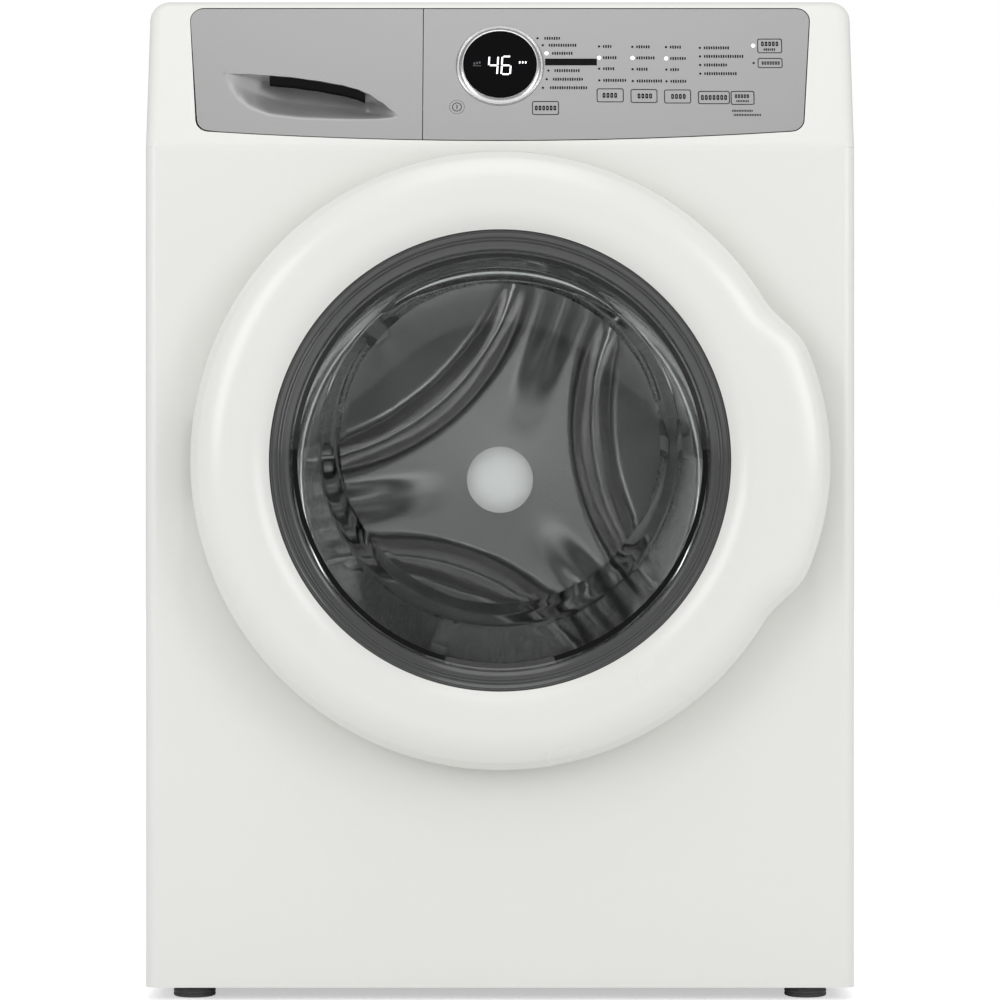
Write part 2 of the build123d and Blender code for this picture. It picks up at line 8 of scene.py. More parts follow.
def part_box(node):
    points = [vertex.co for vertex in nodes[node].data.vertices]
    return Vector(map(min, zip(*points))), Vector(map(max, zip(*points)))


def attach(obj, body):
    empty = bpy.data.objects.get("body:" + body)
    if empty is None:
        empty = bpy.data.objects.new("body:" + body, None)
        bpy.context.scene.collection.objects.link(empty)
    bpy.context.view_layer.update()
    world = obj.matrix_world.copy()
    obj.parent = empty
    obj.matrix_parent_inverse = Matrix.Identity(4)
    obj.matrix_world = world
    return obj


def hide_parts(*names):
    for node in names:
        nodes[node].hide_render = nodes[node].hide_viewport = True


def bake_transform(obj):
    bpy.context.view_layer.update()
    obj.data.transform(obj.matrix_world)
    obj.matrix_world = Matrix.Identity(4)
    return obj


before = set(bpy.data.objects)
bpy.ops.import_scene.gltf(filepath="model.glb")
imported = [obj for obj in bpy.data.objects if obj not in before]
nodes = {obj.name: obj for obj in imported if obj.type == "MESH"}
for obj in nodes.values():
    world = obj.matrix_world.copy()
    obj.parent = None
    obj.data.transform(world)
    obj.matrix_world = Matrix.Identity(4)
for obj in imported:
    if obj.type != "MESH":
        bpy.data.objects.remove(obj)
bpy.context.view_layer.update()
scene = bpy.context.scene
mm = 0.001


def centreOf(node):
    low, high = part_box(node)
    return (low + high) / 2


doorCentre = centreOf("door_trim_ring")
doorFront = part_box("door_ring")[0].y
drumCentre = centreOf("drum_shell")
panelLow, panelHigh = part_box("front_panel")

# The console's face leans back from the top of the front panel
lean = math.radians(19.0)
leanOrigin = Vector((0.0, panelLow.y, panelHigh.z))
leanUp = Vector((0.0, math.sin(lean), math.cos(lean)))
leanOut = Vector((0.0, -math.cos(lean), math.sin(lean)))
print("frame loaded:", len(nodes), "nodes")


def newGroup(name, inputs, outputs):
    group = bpy.data.node_groups.new(name, "ShaderNodeTree")
    for label, kind, value in inputs:
        socket = group.interface.new_socket(label, in_out="INPUT", socket_type="NodeSocket" + kind)
        if value is not None:
            socket.default_value = value
    for label, kind in outputs:
        group.interface.new_socket(label, in_out="OUTPUT", socket_type="NodeSocket" + kind)
    source = group.nodes.new("NodeGroupInput")
    target = group.nodes.new("NodeGroupOutput")
    return group, source, target


def mixColour(tree, factor, first, second):
    mix = tree.nodes.new("ShaderNodeMix")
    mix.data_type = "RGBA"
    tree.links.new(factor, mix.inputs["Factor"])
    tree.links.new(first, mix.inputs[6])
    tree.links.new(second, mix.inputs[7])
    return mix.outputs[2]


def mixShaders(tree, factor, first, second):
    mix = tree.nodes.new("ShaderNodeMixShader")
    tree.links.new(factor, mix.inputs["Fac"])
    tree.links.new(first, mix.inputs[1])
    tree.links.new(second, mix.inputs[2])
    return mix.outputs["Shader"]

def remap(tree, value, low, high):
    node = tree.nodes.new("ShaderNodeMapRange")
    node.interpolation_type = "SMOOTHSTEP"
    node.inputs["From Min"].default_value = 0.2
    node.inputs["From Max"].default_value = 0.8
    tree.links.new(value, node.inputs["Value"])
    tree.links.new(low, node.inputs["To Min"])
    tree.links.new(high, node.inputs["To Max"])
    return node.outputs["Result"]


def noiseOf(tree, vector, scale, detail):
    noise = tree.nodes.new("ShaderNodeTexNoise")
    noise.inputs["Detail"].default_value = detail
    tree.links.new(vector, noise.inputs["Vector"])
    if isinstance(scale, float):
        noise.inputs["Scale"].default_value = scale
    else:
        tree.links.new(scale, noise.inputs["Scale"])
    return noise.outputs["Fac"]


def makeSurfaceVariety():
    # Slow blotches tint the colour and gloss, a fine grain gives the relief
    group, source, target = newGroup(
        "surfaceVariety",
        [
            ("Vector", "Vector", None),
            ("Light Colour", "Color", (0.8, 0.8, 0.8, 1)),
            ("Dark Colour", "Color", (0.7, 0.7, 0.7, 1)),
            ("Blotch Scale", "Float", 6.0),
            ("Grain Scale", "Float", 400.0),
            ("Gloss Low", "Float", 0.3),
            ("Gloss High", "Float", 0.4),
        ],
        [("Colour", "Color"), ("Roughness", "Float"), ("Height", "Float")],
    )
    vector = source.outputs["Vector"]
    blotch = noiseOf(group, vector, source.outputs["Blotch Scale"], 3.0)
    grain = noiseOf(group, vector, source.outputs["Grain Scale"], 2.0)
    colour = mixColour(group, blotch, source.outputs["Dark Colour"], source.outputs["Light Colour"])
    gloss = remap(group, blotch, source.outputs["Gloss Low"], source.outputs["Gloss High"])
    group.links.new(colour, target.inputs["Colour"])
    group.links.new(gloss, target.inputs["Roughness"])
    group.links.new(grain, target.inputs["Height"])
    return group


def makeBrushedLines():
    # Long fine scratches, drawn by squeezing a noise across the brushing direction
    group, source, target = newGroup(
        "brushedLines",
        [
            ("Vector", "Vector", None),
            ("Light Colour", "Color", (0.8, 0.8, 0.8, 1)),
            ("Dark Colour", "Color", (0.6, 0.6, 0.6, 1)),
            ("Line Scale", "Float", 40.0),
            ("Gloss Low", "Float", 0.25),
            ("Gloss High", "Float", 0.4),
        ],
        [("Colour", "Color"), ("Roughness", "Float"), ("Height", "Float")],
    )
    vector = source.outputs["Vector"]
    fine = noiseOf(group, vector, source.outputs["Line Scale"], 6.0)
    colour = mixColour(group, fine, source.outputs["Dark Colour"], source.outputs["Light Colour"])
    gloss = remap(group, fine, source.outputs["Gloss Low"], source.outputs["Gloss High"])
    group.links.new(colour, target.inputs["Colour"])
    group.links.new(gloss, target.inputs["Roughness"])
    group.links.new(fine, target.inputs["Height"])
    return group


surfaceVariety = makeSurfaceVariety()
brushedLines = makeBrushedLines()


def makeMaterial(name, look):
    material = bpy.data.materials.new(name)
    material.use_nodes = True
    tree = material.node_tree
    shader = tree.nodes["Principled BSDF"]
    coords = tree.nodes.new("ShaderNodeTexCoord")
    mapping = tree.nodes.new("ShaderNodeMapping")
    mapping.inputs["Scale"].default_value = look.get("stretch", (1, 1, 1))
    tree.links.new(coords.outputs["Object"], mapping.inputs["Vector"])
    effect = tree.nodes.new("ShaderNodeGroup")
    effect.node_tree = brushedLines if look.get("brushed") else surfaceVariety
    tree.links.new(mapping.outputs["Vector"], effect.inputs["Vector"])
    effect.inputs["Light Colour"].default_value = (*look["light"], 1)
    effect.inputs["Dark Colour"].default_value = (*look["dark"], 1)
    effect.inputs["Gloss Low"].default_value = look["gloss"][0]
    effect.inputs["Gloss High"].default_value = look["gloss"][1]
    if look.get("brushed"):
        effect.inputs["Line Scale"].default_value = look["scale"]
    else:
        effect.inputs["Grain Scale"].default_value = look.get("scale", 400.0)
        effect.inputs["Blotch Scale"].default_value = look.get("blotch", 6.0)
    tree.links.new(effect.outputs["Colour"], shader.inputs["Base Color"])
    tree.links.new(effect.outputs["Roughness"], shader.inputs["Roughness"])
    bump = tree.nodes.new("ShaderNodeBump")
    bump.inputs["Strength"].default_value = look.get("relief", 0.1)
    bump.inputs["Distance"].default_value = look.get("reliefDepth", 0.0002)
    tree.links.new(effect.outputs["Height"], bump.inputs["Height"])
    tree.links.new(bump.outputs["Normal"], shader.inputs["Normal"])
    shader.inputs["Metallic"].default_value = look.get("metal", 0.0)
    shader.inputs["Coat Weight"].default_value = look.get("coat", 0.0)
    shader.inputs["Coat Roughness"].default_value = look.get("coatRough", 0.05)
    shader.inputs["Specular IOR Level"].default_value = look.get("specular", 0.5)
    if "glow" in look:
        shader.inputs["Emission Color"].default_value = (*look["glow"], 1)
        shader.inputs["Emission Strength"].default_value = look.get("glowStrength", 1.0)
    return material


looks = {
    "whiteEnamel": dict(light=(0.740, 0.745, 0.710), dark=(0.730, 0.735, 0.700), gloss=(0.32, 0.35),
                        scale=260.0, relief=0.012, coat=0.15, coatRough=0.25),
    "whitePlastic": dict(light=(0.735, 0.735, 0.705), dark=(0.722, 0.722, 0.692), gloss=(0.22, 0.28),
                         scale=500.0, relief=0.01, coat=0.25, coatRough=0.22),
    "silverFace": dict(light=(0.47, 0.47, 0.47), dark=(0.44, 0.44, 0.44), gloss=(0.36, 0.42),
                       brushed=True, stretch=(1.5, 110, 110), scale=14.0, relief=0.04, metal=0.7),
    "bezelMetal": dict(light=(0.86, 0.86, 0.86), dark=(0.83, 0.83, 0.83), gloss=(0.25, 0.28),
                       scale=300.0, relief=0.02, metal=1.0),
    "blackLens": dict(light=(0.003, 0.003, 0.0035), dark=(0.0015, 0.0015, 0.002), gloss=(0.1, 0.14),
                      scale=300.0, relief=0.0, specular=0.03),
    "inkDark": dict(light=(0.010, 0.010, 0.011), dark=(0.006, 0.006, 0.007), gloss=(0.45, 0.6),
                    scale=600.0, relief=0.05, specular=0.05),
    # A near-black finish that paints the shade under the drawer recess's lip
    "slotDark": dict(light=(0.006, 0.006, 0.006), dark=(0.003, 0.003, 0.003), gloss=(0.6, 0.8),
                     scale=600.0, relief=0.05, specular=0.1),
    "litMark": dict(light=(0.9, 0.9, 0.9), dark=(0.8, 0.8, 0.8), gloss=(0.3, 0.4), relief=0.0,
                    glow=(1.0, 1.0, 1.0), glowStrength=1.2),
    "smokedTrim": dict(light=(0.072, 0.073, 0.073), dark=(0.050, 0.051, 0.051), gloss=(0.18, 0.26),
                       scale=350.0, relief=0.03, coat=0.5),
    "gasketRubber": dict(light=(0.17, 0.17, 0.17), dark=(0.13, 0.13, 0.13), gloss=(0.38, 0.52),
                         scale=600.0, relief=0.04),
    "stainlessWall": dict(light=(0.70, 0.69, 0.685), dark=(0.66, 0.65, 0.645), gloss=(0.23, 0.26),
                          scale=120.0, blotch=5.0, relief=0.01, metal=1.0),
    "polishedHub": dict(light=(0.84, 0.84, 0.83), dark=(0.80, 0.80, 0.79), gloss=(0.36, 0.42),
                        scale=200.0, relief=0.01),
    "rolledSteel": dict(light=(0.90, 0.90, 0.89), dark=(0.84, 0.84, 0.83), gloss=(0.18, 0.22),
                        scale=150.0, relief=0.01, metal=1.0),
    "zincSteel": dict(light=(0.56, 0.57, 0.58), dark=(0.42, 0.43, 0.44), gloss=(0.3, 0.5),
                      scale=160.0, blotch=40.0, relief=0.08, metal=1.0),
    "castAluminium": dict(light=(0.62, 0.63, 0.64), dark=(0.46, 0.47, 0.48), gloss=(0.45, 0.62),
                          scale=500.0, blotch=30.0, relief=0.3, metal=1.0),
    "tubPlastic": dict(light=(0.50, 0.51, 0.52), dark=(0.42, 0.43, 0.44), gloss=(0.45, 0.6),
                       scale=300.0, relief=0.1),
    "innerPlastic": dict(light=(0.70, 0.71, 0.71), dark=(0.64, 0.65, 0.65), gloss=(0.35, 0.48),
                         scale=420.0, relief=0.06),
    "darkPlastic": dict(light=(0.052, 0.052, 0.055), dark=(0.034, 0.034, 0.036), gloss=(0.4, 0.55),
                        scale=500.0, relief=0.12),
    "footRubber": dict(light=(0.13, 0.13, 0.13), dark=(0.09, 0.09, 0.09), gloss=(0.5, 0.65),
                       scale=700.0, relief=0.2),
    "concrete": dict(light=(0.46, 0.45, 0.43), dark=(0.30, 0.29, 0.28), gloss=(0.8, 0.95),
                     scale=220.0, blotch=60.0, relief=0.6, reliefDepth=0.001),
    "hoseRubber": dict(light=(0.035, 0.035, 0.037), dark=(0.02, 0.02, 0.022), gloss=(0.45, 0.6),
                       scale=500.0, relief=0.15),
    "boardGreen": dict(light=(0.03, 0.16, 0.06), dark=(0.02, 0.10, 0.04), gloss=(0.25, 0.4),
                       scale=300.0, relief=0.1),
    "greyMark": dict(light=(0.10, 0.10, 0.11), dark=(0.07, 0.07, 0.08), gloss=(0.3, 0.4), relief=0.0),
    "capBlue": dict(light=(0.03, 0.13, 0.42), dark=(0.02, 0.10, 0.34), gloss=(0.3, 0.4),
                    scale=400.0, relief=0.05),
}
materials = {name: makeMaterial(name, look) for name, look in looks.items()}


def makeGlass():
    # Shadow rays pass straight through, so that light reaches the drum
    material = bpy.data.materials.new("bowlGlass")
    material.use_nodes = True
    tree = material.node_tree
    shader = tree.nodes["Principled BSDF"]
    shader.inputs["Base Color"].default_value = (0.80, 0.82, 0.82, 1)
    shader.inputs["Roughness"].default_value = 0.0
    shader.inputs["IOR"].default_value = 1.47
    shader.inputs["Transmission Weight"].default_value = 1.0
    clear = tree.nodes.new("ShaderNodeBsdfTransparent")
    clear.inputs["Color"].default_value = (0.80, 0.82, 0.82, 1)
    path = tree.nodes.new("ShaderNodeLightPath")
    glass = mixShaders(tree, path.outputs["Is Shadow Ray"], shader.outputs["BSDF"], clear.outputs["BSDF"])
    tree.links.new(glass, tree.nodes["Material Output"].inputs["Surface"])
    return material


materials["bowlGlass"] = makeGlass()


def mathNode(tree, operation, first, second=None):
    node = tree.nodes.new("ShaderNodeMath")
    node.operation = operation
    for socket, value in zip(node.inputs, (first, second)):
        if value is None:
            continue
        if isinstance(value, (int, float)):
            socket.default_value = value
        else:
            tree.links.new(value, socket)
    return node.outputs[0]


def lengthOf(tree, first, second):
    squares = [mathNode(tree, "POWER", value, 2.0) for value in (first, second)]
    return mathNode(tree, "SQRT", mathNode(tree, "ADD", *squares))

def makeDrumHoles():
    # Staggered rows of small drain holes round a drum whose axis lies along Y
    group, source, target = newGroup(
        "drumHoles",
        [("Vector", "Vector", None), ("Around", "Float", 132.0), ("Rows", "Float", 72.0),
         ("Wall Radius", "Float", 0.265)],
        [("Mask", "Float")],
    )
    split = group.nodes.new("ShaderNodeSeparateXYZ")
    group.links.new(source.outputs["Vector"], split.inputs[0])
    x, y, z = split.outputs
    angle = mathNode(group, "ARCTAN2", z, x)
    turns = mathNode(group, "DIVIDE", angle, math.tau)
    row = mathNode(group, "MULTIPLY", y, source.outputs["Rows"])
    odd = mathNode(group, "FLOORED_MODULO", mathNode(group, "FLOOR", row), 2.0)
    shift = mathNode(group, "MULTIPLY", odd, 0.5)
    column = mathNode(group, "ADD", mathNode(group, "MULTIPLY", turns, source.outputs["Around"]), shift)
    du = mathNode(group, "SUBTRACT", mathNode(group, "FRACT", column), 0.5)
    dv = mathNode(group, "SUBTRACT", mathNode(group, "FRACT", row), 0.5)
    away = lengthOf(group, du, dv)
    hole = mathNode(group, "LESS_THAN", away, 0.17)
    radius = lengthOf(group, x, z)
    wall = mathNode(group, "GREATER_THAN", radius, source.outputs["Wall Radius"])
    group.links.new(mathNode(group, "MULTIPLY", hole, wall), target.inputs["Mask"])
    return group


def makeDrumSteel():
    material = makeMaterial("drumSteel", dict(
        light=(0.56, 0.56, 0.55), dark=(0.44, 0.44, 0.435), gloss=(0.22, 0.32),
        brushed=True, stretch=(30, 4, 30), scale=9.0, relief=0.03, metal=1.0))
    tree = material.node_tree
    shader = tree.nodes["Principled BSDF"]
    coords = tree.nodes.new("ShaderNodeTexCoord")
    centred = tree.nodes.new("ShaderNodeMapping")
    centred.inputs["Location"].default_value = (0, 0, -drumCentre.z)
    tree.links.new(coords.outputs["Object"], centred.inputs["Vector"])
    holes = tree.nodes.new("ShaderNodeGroup")
    holes.node_tree = makeDrumHoles()
    tree.links.new(centred.outputs["Vector"], holes.inputs["Vector"])
    plain = shader.inputs["Base Color"].links[0].from_socket
    dark = tree.nodes.new("ShaderNodeRGB")
    dark.outputs[0].default_value = (0.01, 0.01, 0.01, 1)
    pierced = mixColour(tree, holes.outputs["Mask"], plain, dark.outputs[0])
    tree.links.new(pierced, shader.inputs["Base Color"])
    return material


materials["drumSteel"] = makeDrumSteel()
print("materials made:", len(materials))


def addPiece(name, bm, material, body, replaces=(), sharp=35.0):
    mesh = bpy.data.meshes.new(name)
    bm.to_mesh(mesh)
    bm.free()
    mesh.materials.append(materials[material])
    mesh.shade_smooth()
    mesh.set_sharp_from_angle(angle=math.radians(sharp))
    piece = bpy.data.objects.new(name, mesh)
    scene.collection.objects.link(piece)
    if body:
        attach(piece, body)
    if replaces:
        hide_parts(*replaces)
    return piece

def finishPiece(name, bm, material, body, replaces=(), sharp=35.0):
    bmesh.ops.remove_doubles(bm, verts=bm.verts, dist=1e-6)
    bmesh.ops.recalc_face_normals(bm, faces=bm.faces)
    return addPiece(name, bm, material, body, replaces, sharp)

def vertsOf(made):
    return [g for g in made["geom"] if isinstance(g, bmesh.types.BMVert)]

def bevelEdges(bm, edges, offset, segments):
    bmesh.ops.bevel(bm, geom=edges, offset=offset * mm, segments=segments, profile=0.5,
                    affect="EDGES", material=-1)

def smoothStep(value, low, high):
    t = min(1.0, max(0.0, (value - low) / (high - low)))
    return t * t * (3 - 2 * t)


def spinLoop(profile, centre, steps=160, closed=True):
    # profile holds (radius, y) in millimetres round an axis along Y
    bm = bmesh.new()
    verts = [bm.verts.new((centre.x + r * mm, y * mm, centre.z)) for r, y in profile]
    pairs = zip(verts, verts[1:] + ([verts[0]] if closed else []))
    edges = [bm.edges.new(pair) for pair in pairs]
    bmesh.ops.spin(
        bm, geom=verts + edges, cent=centre, axis=(0, 1, 0), angle=math.tau, steps=steps, use_merge=True
    )
    bmesh.ops.remove_doubles(bm, verts=bm.verts, dist=1e-6)
    return bm


def crestArc(crest, end, count):
    # A round arc that leaves the crest level and reaches the end point
    dx, dy = end[0] - crest[0], end[1] - crest[1]
    radius = (dx * dx + dy * dy) / (2 * dy)
    sweep = math.asin(abs(dx) / radius)
    side = 1 if dx > 0 else -1
    points = []
    for i in range(1, count + 1):
        a = sweep * i / count
        points.append((crest[0] + side * radius * math.sin(a), crest[1] + radius * (1 - math.cos(a))))
    return points


def leanPoint(x, v, out=0.0):
    # A point on the console's leaning face, given in millimetres
    return leanOrigin + Vector((x * mm, 0, 0)) + leanUp * (v * mm) + leanOut * (out * mm)


def placeOnLean(bm, x=0.0, v=0.0, out=0.0):
    # Lays a flat mesh drawn in X and Y, in millimetres, on the leaning face
    basis = Matrix((
        (mm, 0, 0, 0),
        (0, leanUp.y * mm, leanOut.y * mm, 0),
        (0, leanUp.z * mm, leanOut.z * mm, 0),
        (0, 0, 0, 1),
    ))
    place = Matrix.Translation(leanPoint(x, v, out)) @ basis
    bmesh.ops.transform(bm, matrix=place, verts=bm.verts)


def roundedLoop(width, height, radius, corner=5):
    points = []
    for cx, cy, start in ((1, 1, 0), (-1, 1, 90), (-1, -1, 180), (1, -1, 270)):
        for i in range(corner + 1):
            a = math.radians(start + 90 * i / corner)
            points.append((
                cx * (width / 2 - radius) + radius * math.cos(a),
                cy * (height / 2 - radius) + radius * math.sin(a),
            ))
    return points


def loopEdges(bm, points, z=0.0):
    verts = [bm.verts.new((x, y, z)) for x, y in points]
    return [bm.edges.new(pair) for pair in zip(verts, verts[1:] + verts[:1])]


def flatRing(bm, outer, inner, z0, z1):
    # A thin band between two outlines with as many points, from z0 up to z1
    low = bmesh.ops.bridge_loops(bm, edges=loopEdges(bm, outer, z0) + loopEdges(bm, inner, z0))
    moved = bmesh.ops.extrude_face_region(bm, geom=low["faces"])
    bmesh.ops.translate(bm, verts=vertsOf(moved), vec=(0, 0, z1 - z0))


# The sheet has a shallow soft-edged dish round the door
frontPanel = {
    "dishDepth": 0.9,        # millimetres
    "dishHalfWidth": 302.0,
    "dishBottomZ": 132.0,
    "dishCorner": 190.0,
    "dishEdge": 13.0,
    "fadeFrom": 560.0,
    "fadeTo": 800.0,
    "segments": 256,
    "rings": 34,
    "holeRadius": 236.0,
    "cornerRadius": 12.0,
    "bendRadius": 30.0,
    "bendCuts": (4.9, 3.6, 2.3, 1.0),    # below the top edge
    "sheet": 0.5,
}


def dishDepthAt(x, z):
    p = frontPanel
    reach = p["dishHalfWidth"] - p["dishCorner"]
    floorZ = p["dishBottomZ"] + p["dishCorner"]
    dx = max(0.0, abs(x) - reach)
    dz = max(0.0, floorZ - z)
    inside = p["dishCorner"] - math.hypot(dx, dz)
    depth = smoothStep(inside, -p["dishEdge"] / 2, p["dishEdge"] / 2)
    return p["dishDepth"] * depth * (1 - smoothStep(z, p["fadeFrom"], p["fadeTo"]))


def bendAt(z):
    # The top edge already rolls back towards the console's lean
    p = frontPanel
    over = z - (panelHigh.z / mm - p["bendRadius"] * math.tan(lean / 2))
    return p["bendRadius"] - math.sqrt(p["bendRadius"] ** 2 - over * over) if over > 0 else 0.0


def makeFrontPanel():
    p = frontPanel
    halfWidth = panelHigh.x / mm
    flat = halfWidth - p["cornerRadius"]
    wrapArc = p["cornerRadius"] * math.pi / 2
    side = (panelHigh.y - panelLow.y) / mm - p["cornerRadius"]
    reach = flat + wrapArc + side
    lowZ, highZ = panelLow.z / mm, panelHigh.z / mm
    doorZ = doorCentre.z / mm
    bm = bmesh.new()
    bmesh.ops.create_circle(bm, segments=p["segments"], radius=p["holeRadius"])
    hole = list(bm.edges)
    outer = bmesh.ops.create_circle(bm, segments=p["segments"], radius=reach)["verts"]
    for v in outer:
        # Push each point of the outer circle out to the sheet's rectangle
        a = math.atan2(v.co.y, v.co.x)
        limitY = (highZ - doorZ) if math.sin(a) > 0 else (doorZ - lowZ)
        scale = 1 / max(abs(math.cos(a)) / reach, abs(math.sin(a)) / limitY)
        v.co.x, v.co.y = math.cos(a) * scale, math.sin(a) * scale
    for cx, cy in ((1, highZ - doorZ), (-1, highZ - doorZ), (1, lowZ - doorZ), (-1, lowZ - doorZ)):
        corner = min(outer, key=lambda v: (v.co.x - cx * reach) ** 2 + (v.co.y - cy) ** 2)
        corner.co.x, corner.co.y = cx * reach, cy
    outerEdges = [e for e in bm.edges if e not in hole]
    bridged = bmesh.ops.bridge_loops(bm, edges=hole + outerEdges)
    bmesh.ops.subdivide_edges(bm, edges=bridged["edges"], cuts=p["rings"], use_grid_fill=True)
    for rise in p["bendCuts"]:
        bmesh.ops.bisect_plane(
            bm, geom=bm.verts[:] + bm.edges[:] + bm.faces[:],
            plane_co=(0, highZ - doorZ - rise, 0), plane_no=(0, 1, 0)
        )
    # Upright cut lines where the sheet bends round the front corners
    for sign in (-1, 1):
        for i in range(7):
            x = sign * (flat + wrapArc * i / 6)
            bmesh.ops.bisect_plane(
                bm, geom=bm.verts[:] + bm.edges[:] + bm.faces[:], plane_co=(x, 0, 0), plane_no=(1, 0, 0)
            )
    for v in bm.verts:
        u, z = v.co.x, v.co.y + doorZ
        depth = dishDepthAt(u, z) + bendAt(z)
        over = abs(u) - flat
        if over <= 0:
            x, y = u, depth
        elif over < wrapArc:
            a = over / p["cornerRadius"]
            x = math.copysign(flat + p["cornerRadius"] * math.sin(a), u)
            y = p["cornerRadius"] * (1 - math.cos(a))
        else:
            x = math.copysign(halfWidth, u)
            y = p["cornerRadius"] + over - wrapArc
        v.co = (x * mm, panelLow.y + y * mm, z * mm)
    bmesh.ops.recalc_face_normals(bm, faces=bm.faces)
    facing = sum(f.normal.y * f.calc_area() for f in bm.faces)
    if facing > 0:
        bmesh.ops.reverse_faces(bm, faces=bm.faces)
    bmesh.ops.solidify(bm, geom=bm.faces[:], thickness=p["sheet"] * mm)
    return finishPiece("frontPanelSheet", bm, "whiteEnamel", "cabinet",
                       ["front_panel"], sharp=40)


makeFrontPanel()
print("front panel made")


doorRing = {
    "rim": 296.0, "rimY": -384.0, "bevel": 288.0, "bevelY": -394.6,
    "crest": 254.0, "inner": 220.4, "innerY": -394.0,
    "backY": -352.0, "steps": 288,
    "edge": [(288.8, -393.9), (289.5, -393.1), (294.4, -387.0), (295.4, -385.5)],    # bevel to rim
    "handleReach": 20.0, "handleStart": 31.5, "handleFull": 20.0, "handleBackY": -371.0,
    "fingerHalf": 75.0, "fingerRadius": 266.0,
    "pocketHalf": 38.0, "pocketRadius": 255.0, "pocketY": -374.0,
}


def makeDoorRing():
    p = doorRing
    crest = (p["crest"], doorFront / mm)
    innerSide = crestArc(crest, (p["inner"], p["innerY"]), 9)
    outerSide = crestArc(crest, (p["bevel"], p["bevelY"]), 9)
    rim = p["edge"] + [(p["rim"], p["rimY"])]
    back = [(p["rim"], p["handleBackY"] - 0.6), (p["rim"], p["handleBackY"]),
            (p["rim"], p["backY"] - 4), (p["rim"] - 1.0, p["backY"] - 1.2), (p["rim"] - 3.2, p["backY"])]
    inside = [(p["rim"] - 5, p["backY"]), (p["rim"] - 5, p["handleBackY"] - 4), (284.0, -390.0),
              (p["crest"] + 10, -400.5), (p["crest"] - 8, -401.5), (p["inner"] + 4, -391.5),
              (p["inner"] + 4, -373.0), (p["inner"], -373.0)]
    profile = innerSide[::-1] + [crest] + outerSide + rim + back + inside
    bm = spinLoop(profile, doorCentre, p["steps"])
    for v in bm.verts:
        x, z = (v.co.x - doorCentre.x) / mm, (v.co.z - doorCentre.z) / mm
        y = v.co.y / mm
        r = math.hypot(x, z)
        angle = abs(math.degrees(math.atan2(z, x)))
        swell = 1 - smoothStep(angle, p["handleFull"], p["handleStart"])
        swell *= 1 - 0.4 * min(1.0, angle / p["handleStart"]) ** 2
        newR = r
        if r > p["crest"] and y <= p["handleBackY"] - 0.3:
            newR = r + p["handleReach"] * swell * smoothStep(r, p["crest"] + 2, p["bevel"])
        elif r > p["fingerRadius"] and y > p["handleBackY"] - 0.3:
            cut = 1 - smoothStep(abs(z), p["fingerHalf"] - 5, p["fingerHalf"] + 5) if x > 0 else 0
            newR = r + (p["fingerRadius"] - r) * cut
        if x < 0 and abs(z) < p["pocketHalf"] and r > p["pocketRadius"] and y > p["pocketY"] + 0.5:
            newR = p["pocketRadius"]
        v.co.x = doorCentre.x + x / r * newR * mm
        v.co.z = doorCentre.z + z / r * newR * mm
    return finishPiece("doorRingShell", bm, "whitePlastic", "door",
                       ["door_ring"], sharp=38)


trimRing = {
    "profile": [(220.0, -391.6), (219.4, -392.8), (218.2, -392.8), (217.6, -391.2), (216.6, -390.8),
                (213.6, -388.4), (212.6, -386.8), (211.9, -387.0), (210.6, -385.9), (209.9, -384.6),
                (209.2, -384.8), (206.6, -382.2), (204.6, -380.4), (203.2, -379.9), (202.0, -378.6),
                (201.6, -377.2), (201.6, -372.2), (220.0, -372.2)],
}


def makeTrimRing():
    bm = spinLoop(trimRing["profile"], doorCentre, 192)
    return finishPiece("windowTrimRing", bm, "smokedTrim", "door",
                       ["door_trim_ring"], sharp=50)


glassBowl = {
    "wall": 6.0,
    "stations": [  # radius, y, height of the centre above the door's centre
        (216.0, -371.6, 0.0), (204.0, -371.6, 0.0), (200.5, -369.0, 0.0), (197.0, -350.0, 3.4),
        (190.0, -325.0, 8.6), (182.6, -299.6, 13.6), (181.4, -296.2, 14.3), (179.6, -293.2, 14.8),
        (171.0, -277.0, 16.8), (164.4, -265.6, 18.0), (160.4, -261.2, 18.4), (154.0, -259.6, 18.5),
        (110.0, -258.2, 18.5), (60.0, -257.7, 18.5), (20.0, -257.5, 18.5),
    ],
    "lip": (204.0, -378.0), "flange": (216.0, -374.0),
    "segments": 160,
}


def ringAt(bm, radius, y, rise, segments):
    place = Matrix.Translation((doorCentre.x, y * mm, doorCentre.z + rise * mm))
    turn = Matrix.Rotation(math.radians(90), 4, "X")
    made = bmesh.ops.create_circle(bm, segments=segments, radius=radius * mm, matrix=place @ turn)
    return list({e for v in made["verts"] for e in v.link_edges})


def makeGlassBowl():
    p = glassBowl
    bm = bmesh.new()
    outer = [ringAt(bm, r, y, rise, p["segments"]) for r, y, rise in p["stations"]]
    inner = []
    for r, y, rise in p["stations"][::-1]:
        if r > 201:
            continue
        slant = 1.0 if y < -262 else 0.35
        inner.append(ringAt(bm, r - p["wall"] * slant, y - p["wall"] * (1.15 - slant), rise, p["segments"]))
    for first, second in zip(outer, outer[1:]):
        bmesh.ops.bridge_loops(bm, edges=first + second)
    for first, second in zip(inner, inner[1:]):
        bmesh.ops.bridge_loops(bm, edges=first + second)
    bmesh.ops.holes_fill(bm, edges=outer[-1], sides=0)
    bmesh.ops.holes_fill(bm, edges=inner[0], sides=0)
    lip, flange = [ringAt(bm, *p[part], 0.0, p["segments"]) for part in ("lip", "flange")]
    bmesh.ops.bridge_loops(bm, edges=inner[-1] + lip)
    bmesh.ops.bridge_loops(bm, edges=lip + flange)
    bmesh.ops.bridge_loops(bm, edges=flange + outer[0])
    return finishPiece("glassBowl", bm, "bowlGlass", "door", ["door_glass"], sharp=28)


makeDoorRing()
makeTrimRing()
makeGlassBowl()
print("door made")


